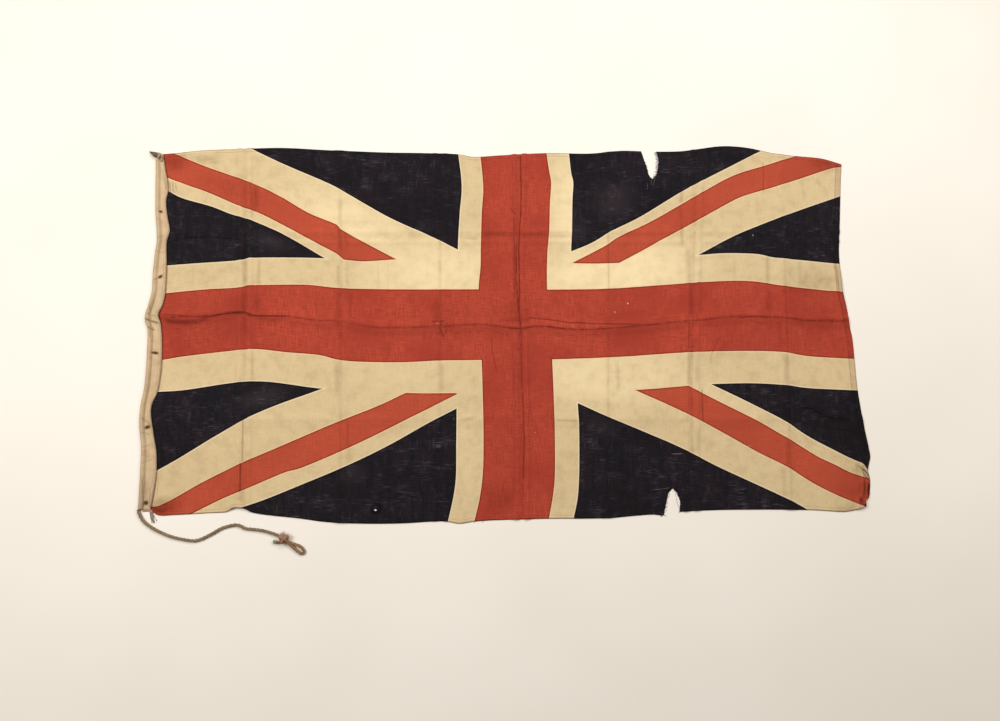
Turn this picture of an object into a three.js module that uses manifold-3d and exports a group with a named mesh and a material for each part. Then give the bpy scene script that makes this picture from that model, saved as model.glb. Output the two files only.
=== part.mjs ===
// An old hand-sewn bunting flag that has been folded up for years and laid open again:
// the printed cloth with its creases and two tears, the canvas heading with the rope inside it,
// the wooden toggle at the heading's top, and the rope's free end with its knotted loop.
import * as THREE from 'three';
import { mergeVertices } from 'three/addons/utils/BufferGeometryUtils.js';
import Module from 'manifold-3d';

// All sizes are in millimetres. +X runs from the hoist to the fly, +Y to the flag's top, +Z up.
const clothThickness = 1.4;
const seamGap = 0.34;
const ropeDiameter = 8;
const ropeTwistPitch = 30;
const headingFlatHeight = 2.6;
const headingRopeHeight = 10.5;
const creaseReach = 24;
const tearDepthBelow = 20;

// The middle of the flag's own box, measured from where the guides below start.
const boxMiddle = new THREE.Vector3(3.3, 2.3, 0);

// The cloth is eight panels long and four panels high between its old folds.
// A column is a list of [y, x] places from the bottom hem to the top hem.
const hoistSeam = [
  [-449, -875], [-417, -870], [-390, -867], [-358, -865], [-308, -868], [-264, -877],
  [-215, -886], [-189, -885], [-163, -874], [-123, -868], [-74, -866], [-15, -869],
  [19, -874], [40, -881], [66, -871], [97, -866], [170, -866], [231, -869],
  [263, -863], [299, -870], [341, -876], [372, -872], [407, -877], [438, -884], [470, -890],
];
const flyEdge = [
  [-458, 915], [-449, 916], [-441, 918], [-435, 926], [-416, 931], [-389, 933], [-368, 929],
  [-354, 932], [-333, 938], [-316, 936], [-300, 934], [-254, 927], [-239, 925],
  [-161, 917], [-80, 914], [-23, 912], [14, 905], [46, 904], [97, 894], [132, 893],
  [173, 892], [217, 893], [287, 900], [358, 906], [401, 910], [447, 915],
];
const columns = [
  hoistSeam,
  [[-453, -648], [79, -662], [483, -677]],
  [[-482, -407], [78, -416], [481, -427]],
  [[-484, -159], [78, -161], [473, -162]],
  [[-481, 46], [-234, 48], [24, 45], [136, 37], [471, 48]],
  [[-481, 262], [-2, 274], [480, 286]],
  [[-465, 475], [-3, 493], [487, 526]],
  [[-462, 727], [76, 742], [476, 751]],
  flyEdge,
];

// A row is a list of [x, y] places from the hoist to the fly.
const bottomHem = [
  [-875, -449], [-862, -461], [-849, -465], [-824, -464], [-771, -462], [-731, -460],
  [-684, -457], [-675, -449], [-646, -449], [-620, -461], [-507, -475], [-445, -484],
  [-348, -489], [-254, -489], [-149, -485], [-111, -491], [-73, -486], [-9, -483],
  [113, -481], [261, -481], [325, -476], [373, -473], [403, -475], [444, -467],
  [574, -463], [769, -465], [850, -470], [875, -469], [900, -463], [915, -458],
];
const middleFold = [
  [-881, 32], [-752, 36], [-704, 42], [-671, 45], [-638, 35], [-556, 35], [-471, 23],
  [-413, 21], [-341, 7], [-292, 4], [-166, 7], [-60, 12], [43, 1], [90, 7], [193, -2],
  [305, 3], [463, 18], [528, 23], [597, 31], [723, 29], [799, 20], [905, 18],
];
const topHem = [
  [-890, 470], [-862, 472], [-771, 480], [-661, 486], [-577, 488], [-453, 482],
  [-295, 476], [-202, 475], [-115, 472], [-75, 465], [-5, 469], [120, 476], [235, 475],
  [321, 483], [375, 482], [416, 481], [478, 482], [529, 488], [596, 495], [667, 491],
  [743, 475], [791, 470], [861, 463], [915, 447],
];
const rows = [
  bottomHem,
  [[-880, -231], [0, -236], [900, -241]],
  middleFold,
  [[-870, 243], [0, 246], [900, 246]],
  topHem,
];

// Each fold's height in its middle. A trough has a low line between two soft ridges.
const columnFolds = [
  { height: 0, trough: false },
  { height: 3.4, trough: true },
  { height: 2.8, trough: false },
  { height: 1.8, trough: true },
  { height: 4.2, trough: true },
  { height: 1.8, trough: false },
  { height: 3.2, trough: true },
  { height: 2.8, trough: false },
  { height: 0, trough: false },
];
const rowFolds = [
  { height: 0, trough: false },
  { height: 2.0, trough: false },
  { height: 4.6, trough: false },
  { height: 2.0, trough: true },
  { height: 0, trough: false },
];

// Loose swells and wrinkles: middle, half length, half width, turn in degrees and height.
const swells = [
  { x: -812, y: 30, long: 95, wide: 30, turn: 2, height: 6 },
  { x: -846, y: 378, long: 52, wide: 34, turn: 70, height: 5 },
  { x: -835, y: -200, long: 70, wide: 40, turn: 80, height: 5 },
  { x: -780, y: 470, long: 90, wide: 26, turn: 4, height: 5 },
  { x: -660, y: -440, long: 60, wide: 40, turn: 85, height: 5 },
  { x: 600, y: 484, long: 110, wide: 34, turn: -4, height: 6 },
  { x: 565, y: -44, long: 70, wide: 26, turn: 62, height: 3.5 },
  { x: 838, y: -222, long: 78, wide: 26, turn: -16, height: 6 },
  { x: 884, y: 100, long: 90, wide: 34, turn: 88, height: 5 },
  { x: 905, y: -340, long: 80, wide: 38, turn: 84, height: 6 },
  { x: 870, y: -450, long: 60, wide: 26, turn: 6, height: 5 },
];
const cornerCurl = { x: 922, y: -462, reach: 44, height: 9 };

// The two tears, from rim to rim, each with its mouth past the hem.
const topTear = [
  [377, 520], [375, 482], [381, 461], [389, 439], [393, 417], [402, 405],
  [414, 417], [420, 439], [421, 464], [416, 481], [417, 520],
];
const bottomTear = [
  [402, -510], [404, -467], [411, -442], [416, -420], [427, -408],
  [437, -420], [443, -433], [445, -443], [443, -467], [443, -510],
];

// The heading's outer edge as [y, x], from its bottom end to its top end.
const headingOuterEdge = [
  [-450, -905], [-431, -904], [-397, -904], [-358, -904], [-295, -905], [-244, -912],
  [-216, -913], [-186, -911], [-145, -905], [-97, -903], [-46, -903], [6, -905],
  [19, -911], [40, -913], [63, -907], [103, -899], [153, -899], [203, -896],
  [238, -893], [321, -901], [468, -907],
];
const headingRopeWidth = 11.5;
// The heading's top end stops short of the cloth's corner and slopes to its outer edge.
const headingTopShort = 11;
const headingTopDrop = 9;
const headingTopFrom = 400;

// The free rope from the heading's bottom end to its knot, along the floor.
const ropeRoute = [
  [-903.5, -450.2], [-902.4, -456], [-894, -472], [-884, -483], [-865, -496], [-847, -505],
  [-828, -513], [-809, -519], [-790, -523], [-772, -526], [-759, -526], [-743, -521],
  [-719, -509], [-698, -497], [-678, -491], [-664, -489], [-653, -491], [-639, -498],
  [-622, -500], [-599, -503], [-579, -508], [-565, -513], [-554.6, -517.7],
];

// The knot's turns, its loop and its whipped tail, on the same rope.
const knotMiddle = new THREE.Vector3(-542.5, -524, 10.7);
const knotTurnRadius = 8.3;
const knotStretch = [1, 1.2, 0.8];
const loopRoute = [
  [-538, -527, 9], [-530, -531.5, 8], [-523.5, -535, 6.2], [-515, -536.5, 4.6],
  [-505, -540, 4.1], [-496.5, -546, 4.1], [-491.5, -554, 4.1], [-495, -560.5, 4.1],
  [-502, -560, 4.1], [-510, -554.5, 4.1], [-518, -547.5, 4.6], [-526, -540, 6.2],
  [-533, -533, 8], [-539, -528, 9],
];
const tailRoute = [[-545, -527, 7], [-553, -532, 4.6], [-561, -532, 4.1], [-570, -530, 4.1]];

// The toggle: a pointed wooden spindle that the rope's upper eye holds by its waist.
const toggleTip = new THREE.Vector3(-924.7, 475.2, 5.9);
const toggleWaist = new THREE.Vector3(-900, 462.4, 7.6);
const toggleRadius = 7;
const eyeRadius = 5.8;
const eyeLength = 6;

const wasm = await Module();
wasm.setup();

// A smooth line through [along, across] places, as across for any along.
function guide(places) {
  const count = places.length;
  const slopes = places.map((place, i) => {
    const before = places[Math.max(i - 1, 0)];
    const after = places[Math.min(i + 1, count - 1)];
    return (after[1] - before[1]) / (after[0] - before[0]);
  });
  return (along) => {
    if (along <= places[0][0]) return places[0][1];
    if (along >= places[count - 1][0]) return places[count - 1][1];
    let i = 0;
    while (along > places[i + 1][0]) i += 1;
    const step = places[i + 1][0] - places[i][0];
    const q = (along - places[i][0]) / step;
    const rest = 1 - q;
    return (
      places[i][1] * (1 + 2 * q) * rest * rest +
      slopes[i] * step * q * rest * rest +
      places[i + 1][1] * (3 - 2 * q) * q * q -
      slopes[i + 1] * step * rest * q * q
    );
  };
}

const columnGuides = columns.map(guide);
const rowGuides = rows.map(guide);

// The value between two neighbouring guides, for a panel count such as 2.5.
function between(guides, panel, along) {
  const first = Math.min(Math.floor(panel), guides.length - 2);
  const share = panel - first;
  return guides[first](along) * (1 - share) + guides[first + 1](along) * share;
}

// The floor place of a point of the cloth, found where its column meets its row.
function clothPlace(column, row) {
  let x = between(columnGuides, column, 0);
  let y = between(rowGuides, row, x);
  for (let turn = 0; turn < 8; turn += 1) {
    x = between(columnGuides, column, y);
    y = between(rowGuides, row, x);
  }
  return [x, y];
}

function ridge(q) {
  const rest = Math.max(0, 1 - q * q);
  return rest * rest;
}

function foldHeight(fold, distance) {
  const q = distance / creaseReach;
  if (fold.trough) return 6.75 * fold.height * q * q * ridge(q);
  return fold.height * ridge(q);
}

function swellHeight(swell, x, y) {
  const turn = THREE.MathUtils.degToRad(swell.turn);
  const dx = x - swell.x;
  const dy = y - swell.y;
  const lengthwise = (dx * Math.cos(turn) + dy * Math.sin(turn)) / swell.long;
  const across = (dy * Math.cos(turn) - dx * Math.sin(turn)) / swell.wide;
  return swell.height * ridge(Math.hypot(lengthwise, across));
}

// How far the cloth's underside is above the floor. It is exactly zero between the folds.
function clothLift(x, y) {
  let lift = 0;
  columnFolds.forEach((fold, i) => {
    lift = Math.max(lift, foldHeight(fold, x - columnGuides[i](y)));
  });
  rowFolds.forEach((fold, i) => {
    lift = Math.max(lift, foldHeight(fold, y - rowGuides[i](x)));
  });
  swells.forEach((swell) => {
    lift = Math.max(lift, swellHeight(swell, x, y));
  });
  const toCorner = Math.hypot(x - cornerCurl.x, y - cornerCurl.y) / cornerCurl.reach;
  const fromSeam = Math.min(1, Math.max(0, (x - columnGuides[0](y)) / creaseReach));
  return fromSeam * Math.max(lift, cornerCurl.height * ridge(toCorner));
}

function bare(geometry) {
  geometry.deleteAttribute('normal');
  geometry.deleteAttribute('uv');
  return mergeVertices(geometry, 1e-4);
}

function toSolid(geometry) {
  const merged = bare(geometry);
  return new wasm.Manifold(
    new wasm.Mesh({
      numProp: 3,
      vertProperties: merged.getAttribute('position').array,
      triVerts: new Uint32Array(merged.index.array),
    }),
  );
}

function toGeometry(solid) {
  const mesh = solid.getMesh();
  const geometry = new THREE.BufferGeometry();
  geometry.setAttribute('position', new THREE.BufferAttribute(mesh.vertProperties, 3));
  geometry.setIndex(new THREE.BufferAttribute(mesh.triVerts, 1));
  geometry.computeVertexNormals();
  return geometry;
}

// Panel counts of the grid lines: close together at a fold and wide apart between folds.
function gridLines(panels, shares) {
  const lines = [];
  for (let panel = 0; panel < panels; panel += 1) {
    shares.forEach((share) => lines.push(panel + share));
  }
  lines.push(panels);
  return lines;
}

// Moves every corner of a unit box's grid to the place that the rule gives for its grid numbers.
function shapedBox(alongX, alongY, place) {
  const geometry = new THREE.BoxGeometry(1, 1, 1, alongX, alongY, 1);
  const corners = geometry.getAttribute('position');
  for (let i = 0; i < corners.count; i += 1) {
    const column = Math.round((corners.getX(i) + 0.5) * alongX);
    const row = Math.round((corners.getY(i) + 0.5) * alongY);
    const top = corners.getZ(i) > 0;
    corners.setXYZ(i, ...place(column, row, top));
  }
  return geometry;
}

function tearCutter(outline) {
  const shape = new THREE.Shape(outline.map(([x, y]) => new THREE.Vector2(x, y)));
  const cutter = new THREE.ExtrudeGeometry(shape, { depth: 2 * tearDepthBelow, bevelEnabled: false });
  cutter.translate(0, 0, -tearDepthBelow);
  return toSolid(cutter);
}

const columnLines = gridLines(8, [0, 0.04, 0.1, 0.5, 0.9, 0.96]);
const rowLines = gridLines(4, [0, 0.04, 0.1, 0.3, 0.5, 0.7, 0.9, 0.96]);

function makeCloth() {
  const sheet = shapedBox(columnLines.length - 1, rowLines.length - 1, (column, row, top) => {
    const [x, y] = clothPlace(columnLines[column], rowLines[row]);
    const seam = column === 0 ? seamGap : 0;
    return [x + seam, y, clothLift(x, y) + (top ? clothThickness : 0)];
  });
  return toGeometry(toSolid(sheet).subtract(tearCutter(topTear)).subtract(tearCutter(bottomTear)));
}

// Bends a cylinder's rings onto places that the rule gives for a ring and a side.
function shapedCylinder(sides, rings, place, capMiddle) {
  const geometry = new THREE.CylinderGeometry(1, 1, 1, sides, rings);
  const corners = geometry.getAttribute('position');
  for (let i = 0; i < corners.count; i += 1) {
    const ring = Math.round((corners.getY(i) + 0.5) * rings);
    const x = corners.getX(i);
    const z = corners.getZ(i);
    if (Math.hypot(x, z) < 0.5) {
      corners.setXYZ(i, ...capMiddle(ring));
    } else {
      const turn = Math.atan2(x, z) / (2 * Math.PI);
      const side = (Math.round(turn * sides) + sides) % sides;
      corners.setXYZ(i, ...place(ring, side));
    }
  }
  return geometry;
}

// The canvas sleeve: a round rope inside its outer third, and two flat layers beside it.
function makeHeading() {
  const outer = guide(headingOuterEdge);
  const rings = rowLines.length - 1;
  const at = (ring) => {
    const stationY = clothPlace(0, rowLines[ring])[1];
    const toTop = Math.max(0, (stationY - headingTopFrom) / (470 - headingTopFrom)) ** 2;
    const y = stationY - headingTopShort * toTop;
    const left = outer(y);
    const width = columnGuides[0](y) - left;
    return { y, left, width, drop: headingTopDrop * toTop, rope: Math.min(headingRopeWidth, 0.5 * width) };
  };
  const high = headingRopeHeight;
  const flat = headingFlatHeight;
  const section = ({ width, rope }) => [
    [0.5, 1.2], [0, 0.38 * high], [0.12 * rope, 0.76 * high], [0.42 * rope, high],
    [0.74 * rope, 0.9 * high], [rope, 0.5 * high], [1.12 * rope, 1.15 * flat],
    [0.5 * (1.12 * rope + width), flat], [width, 0.85 * flat], [width, 0],
    [0.5 * width, 0], [0.2 * rope, 0],
  ];
  const geometry = shapedCylinder(
    12,
    rings,
    (ring, side) => {
      const station = at(ring);
      const [across, z] = section(station)[side];
      const slope = station.drop * (1 - across / station.width);
      return [station.left + across, station.y - slope, z];
    },
    (ring) => {
      const station = at(ring);
      return [station.left + 0.7 * station.rope, station.y - 0.6 * station.drop, 0.3 * high];
    },
  );
  return toGeometry(toSolid(geometry));
}

// A three-strand rope: its section has three lobes and turns as it goes along its route.
function makeRope(route, diameter, steps) {
  const points = route.map(([x, y, z = diameter / 2 + 0.05]) => new THREE.Vector3(x, y, z));
  const line = new THREE.CatmullRomCurve3(points, false, 'centripetal');
  const frames = line.computeFrenetFrames(steps, false);
  const length = line.getLength();
  const sides = 9;
  const centres = frames.tangents.map((tangent, step) => line.getPointAt(step / steps));
  const place = (step, side) => {
    const lobe = side % 3 === 0 ? 0.5 : 0.41;
    const turned = (2 * Math.PI * length * step) / (steps * ropeTwistPitch);
    const angle = (2 * Math.PI * side) / sides - turned;
    return centres[step]
      .clone()
      .addScaledVector(frames.normals[step], diameter * lobe * Math.cos(angle))
      .addScaledVector(frames.binormals[step], diameter * lobe * Math.sin(angle))
      .toArray();
  };
  return shapedCylinder(sides, steps, place, (step) => centres[step].toArray());
}

function makeCord() {
  return toGeometry(toSolid(makeRope(ropeRoute, ropeDiameter, 92)));
}

// Three turns of the rope around each other, with the loop and the tail that come out of them.
function makeKnot() {
  const turns = [
    { tilt: [0.5, 0.2, 0.6], shift: [0, 0, 0] },
    { tilt: [1.35, -0.5, 0.2], shift: [-1.5, 1, 1] },
    { tilt: [1.2, 0.7, -0.9], shift: [2, -1.5, 0.5] },
  ];
  let knot = toSolid(makeRope(loopRoute, 0.85 * ropeDiameter, 30));
  knot = knot.add(toSolid(makeRope(tailRoute, 0.8 * ropeDiameter, 8)));
  turns.forEach(({ tilt, shift }) => {
    const turn = new THREE.TorusGeometry(knotTurnRadius, 0.46 * ropeDiameter, 7, 14);
    turn.applyMatrix4(new THREE.Matrix4().makeRotationFromEuler(new THREE.Euler(...tilt)));
    turn.scale(...knotStretch);
    turn.translate(knotMiddle.x + shift[0], knotMiddle.y + shift[1], knotMiddle.z + shift[2]);
    knot = knot.add(toSolid(turn));
  });
  const core = new THREE.SphereGeometry(knotTurnRadius, 10, 7);
  core.translate(knotMiddle.x, knotMiddle.y, knotMiddle.z);
  knot = knot.add(toSolid(core));
  return toGeometry(knot);
}

// Turns a shape made along +Y, from the origin, to run between two places.
function layAlong(geometry, start, end) {
  const direction = end.clone().sub(start).normalize();
  const turn = new THREE.Quaternion().setFromUnitVectors(new THREE.Vector3(0, 1, 0), direction);
  geometry.applyQuaternion(turn);
  geometry.translate(start.x, start.y, start.z);
  return geometry;
}

function makeToggle() {
  const length = toggleTip.distanceTo(toggleWaist);
  const profile = [
    [0, 0], [0.16, 0.06], [0.5, 0.3], [0.85, 0.58], [1, 0.76], [0.86, 0.9], [0.54, 1], [0, 1],
  ].map(([radius, along]) => new THREE.Vector2(radius * toggleRadius, along * length));
  return toGeometry(toSolid(layAlong(new THREE.LatheGeometry(profile, 16), toggleTip, toggleWaist)));
}

// The rope's upper eye: a short turn of rope against the toggle's waist and the heading's top.
function makeEye() {
  const direction = toggleWaist.clone().sub(toggleTip).normalize();
  const start = toggleWaist.clone().addScaledVector(direction, seamGap);
  const end = start.clone().addScaledVector(direction, eyeLength);
  const profile = [
    [0, 0], [0.7, 0], [1, 0.25], [1, 0.7], [0.75, 1], [0, 1],
  ].map(([radius, along]) => new THREE.Vector2(radius * eyeRadius, along * eyeLength));
  return toGeometry(toSolid(layAlong(new THREE.LatheGeometry(profile, 14), start, end)));
}

function piece(name, geometry, color, roughness) {
  const material = new THREE.MeshStandardMaterial({ color, roughness, metalness: 0 });
  const mesh = new THREE.Mesh(geometry, material);
  mesh.name = name;
  return mesh;
}

const flag = new THREE.Group();
flag.add(
  piece('flag_cloth', makeCloth(), 0xbe4632, 0.95),
  piece('heading', makeHeading(), 0xcdaf87, 0.92),
  piece('cord', makeCord(), 0x735f46, 0.9),
  piece('cord_knot', makeKnot(), 0x8c5f46, 0.92),
  piece('toggle', makeToggle(), 0x645041, 0.7),
  piece('rope_eye', makeEye(), 0x8a7a60, 0.9),
);
flag.position.set(-boxMiddle.x, -boxMiddle.y, 0);

export default flag;
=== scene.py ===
import math
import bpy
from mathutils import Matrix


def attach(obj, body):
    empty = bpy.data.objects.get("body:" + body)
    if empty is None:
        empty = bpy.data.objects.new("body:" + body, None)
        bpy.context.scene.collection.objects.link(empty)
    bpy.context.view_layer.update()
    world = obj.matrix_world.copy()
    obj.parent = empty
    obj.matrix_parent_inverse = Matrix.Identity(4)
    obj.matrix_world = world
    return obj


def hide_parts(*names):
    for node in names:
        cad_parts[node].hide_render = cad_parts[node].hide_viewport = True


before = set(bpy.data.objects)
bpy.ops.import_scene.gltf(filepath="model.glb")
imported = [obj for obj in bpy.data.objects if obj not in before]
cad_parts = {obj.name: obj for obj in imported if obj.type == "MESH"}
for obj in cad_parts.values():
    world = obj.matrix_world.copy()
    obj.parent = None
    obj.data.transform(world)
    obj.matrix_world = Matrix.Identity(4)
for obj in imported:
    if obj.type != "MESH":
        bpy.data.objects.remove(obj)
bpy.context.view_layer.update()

from types import SimpleNamespace

import bpy
import numpy as np
from mathutils import Vector

rng = np.random.default_rng(7)

# Guides are written in millimetres, from the same start as the solids' own guides. The paler,
# darker and faded patches are written from a start twice as far off.
MM = 0.001
GUIDE_START = np.array([3.3, 2.3])
PATCH_START = 2 * GUIDE_START
TINY, FAR = 1e-9, 1e6
# How often a cloth point is moved on to the line of its column and of its row.
MEETING_ROUNDS = 8
SEAM_GAP = 0.34
CLOTH_THICKNESS = 1.2
HEM_HEIGHT, HEM_WIDTH = 0.5, 10
# How far a fold's slopes reach, and what brings the two ridges beside a trough to full height.
CREASE_REACH = 24
TROUGH_SCALE = 6.75
# A folded panel's size in metres, and the cloth's steps beside a fold and across a panel.
PANEL_WIDTH, PANEL_HEIGHT = 0.2285, 0.2375
NEAR_STEPS, WIDE_STEPS = 7, 20

HOIST_SEAM = [
    (-449, -875), (-417, -870), (-390, -867), (-358, -865), (-308, -868), (-264, -877),
    (-215, -886), (-189, -885), (-163, -874), (-123, -868), (-74, -866), (-15, -869),
    (19, -874), (40, -881), (66, -871), (97, -866), (170, -866), (231, -869),
    (263, -863), (299, -870), (341, -876), (372, -872), (407, -877), (438, -884), (470, -890),
]
FLY_EDGE = [
    (-458, 915), (-449, 916), (-441, 918), (-435, 926), (-416, 931), (-389, 933), (-368, 929),
    (-354, 932), (-333, 938), (-316, 936), (-300, 934), (-254, 927), (-239, 925),
    (-161, 917), (-80, 914), (-23, 912), (14, 905), (46, 904), (97, 894), (132, 893),
    (173, 892), (217, 893), (287, 900), (358, 906), (401, 910), (447, 915),
]
COLUMNS = [
    HOIST_SEAM,
    [(-453, -648), (79, -662), (483, -677)],
    [(-482, -407), (78, -416), (481, -427)],
    [(-484, -159), (78, -161), (473, -162)],
    [(-481, 46), (-234, 48), (24, 45), (136, 37), (471, 48)],
    [(-481, 262), (-2, 274), (480, 286)],
    [(-465, 475), (-3, 493), (487, 526)],
    [(-462, 727), (76, 742), (476, 751)],
    FLY_EDGE,
]
BOTTOM_HEM = [
    (-875, -449), (-862, -461), (-849, -465), (-824, -464), (-771, -462), (-731, -460),
    (-684, -457), (-675, -449), (-646, -449), (-620, -461), (-507, -475), (-445, -484),
    (-348, -489), (-254, -489), (-149, -485), (-111, -491), (-73, -486), (-9, -483),
    (113, -481), (261, -481), (325, -476), (373, -473), (403, -475), (444, -467),
    (574, -463), (769, -465), (850, -470), (875, -469), (900, -463), (915, -458),
]
MIDDLE_FOLD = [
    (-881, 32), (-752, 36), (-704, 42), (-671, 45), (-638, 35), (-556, 35), (-471, 23),
    (-413, 21), (-341, 7), (-292, 4), (-166, 7), (-60, 12), (43, 1), (90, 7), (193, -2),
    (305, 3), (463, 18), (528, 23), (597, 31), (723, 29), (799, 20), (905, 18),
]
TOP_HEM = [
    (-890, 470), (-862, 472), (-771, 480), (-661, 486), (-577, 488), (-453, 482),
    (-295, 476), (-202, 475), (-115, 472), (-75, 465), (-5, 469), (120, 476), (235, 475),
    (321, 483), (375, 482), (416, 481), (478, 482), (529, 488), (596, 495), (667, 491),
    (743, 475), (791, 470), (861, 463), (915, 447),
]
ROWS = [
    BOTTOM_HEM,
    [(-880, -231), (0, -236), (900, -241)],
    MIDDLE_FOLD,
    [(-870, 243), (0, 246), (900, 246)],
    TOP_HEM,
]
HEADING_OUTER_EDGE = [
    (-450, -905), (-431, -904), (-397, -904), (-358, -904), (-295, -905), (-244, -912),
    (-216, -913), (-186, -911), (-145, -905), (-97, -903), (-46, -903), (6, -905),
    (19, -911), (40, -913), (63, -907), (103, -899), (153, -899), (203, -896),
    (238, -893), (321, -901), (468, -907),
]

# Each fold's height in millimetres, and whether it is a trough between two ridges.
COLUMN_FOLDS = [
    (0, False), (3.4, True), (2.8, False), (1.8, True), (4.2, True),
    (1.8, False), (3.2, True), (2.8, False), (0, False),
]
ROW_FOLDS = [(0, False), (2.0, False), (4.6, False), (2.0, True), (0, False)]

# How dark the painted fold shade is along each fold, from end to end: a soft band of painted
# shade, and a thin line of painted crease shade together with dirt, as (place along the fold,
# band, line). Column folds go by y and row folds by x.
COLUMN_FOLD_SHADE_AND_DIRT = [
    [(0, 0, 0)],
    [(-460, 0.3, 0.05), (-100, 0.5, 0.1), (90, 0.7, 0.1), (190, 0.9, 0.1), (300, 0.8, 0.1), (480, 0.3, 0)],
    [(-480, 0.3, 0.1), (-100, 0.4, 0.15), (0, 0.6, 0.2), (200, 0.4, 0.1), (480, 0.3, 0)],
    [(-480, 0.2, 0), (-120, 0.5, 0.1), (0, 0.4, 0.2), (170, 0.5, 0.15), (470, 0.2, 0)],
    [(-480, 0.3, 0.1), (-200, 0.4, 0.15), (-110, 0.6, 0.35), (-20, 0.6, 0.3), (15, 0.9, 0.9),
     (60, 0.7, 1.0), (160, 0.7, 1.0), (215, 0.6, 0.5), (300, 0.5, 0.2), (470, 0.3, 0.1)],
    [(-480, 0.2, 0), (-150, 0.5, 0.15), (0, 0.3, 0.1), (150, 0.4, 0.1), (480, 0.2, 0)],
    [(-460, 0.4, 0.1), (-160, 0.7, 0.25), (0, 0.5, 0.2), (170, 0.5, 0.15), (480, 0.3, 0.1)],
    [(-460, 0.4, 0.1), (-160, 0.5, 0.2), (0, 0.5, 0.25), (170, 0.4, 0.1), (260, 0.15, 0), (480, 0.1, 0)],
    [(0, 0, 0)],
]
ROW_FOLD_SHADE_AND_DIRT = [
    [(0, 0, 0)],
    [(-900, 0.2, 0), (0, 0.3, 0.05), (900, 0.3, 0.1)],
    [(-880, 0.5, 0.5), (-800, 0.6, 0.7), (-720, 0.9, 1.0), (-640, 0.7, 0.8), (-560, 0.6, 0.7),
     (-480, 0.5, 0.7), (-410, 0.3, 0.3), (-330, 0.5, 0.5), (-200, 0.7, 0.5), (-90, 0.8, 0.6),
     (-20, 0.9, 0.6), (40, 1.0, 0.9), (120, 0.9, 1.0), (250, 0.7, 0.8), (400, 0.6, 0.7),
     (560, 0.7, 0.6), (740, 0.7, 0.7), (840, 0.9, 0.9), (920, 0.6, 0.6)],
    [(-880, 0.4, 0.2), (-700, 0.2, 0.1), (-150, 0.1, 0), (-110, 0.3, 0.05), (130, 0.3, 0.05),
     (200, 0.08, 0), (900, 0.1, 0)],
    [(0, 0, 0)],
]
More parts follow.
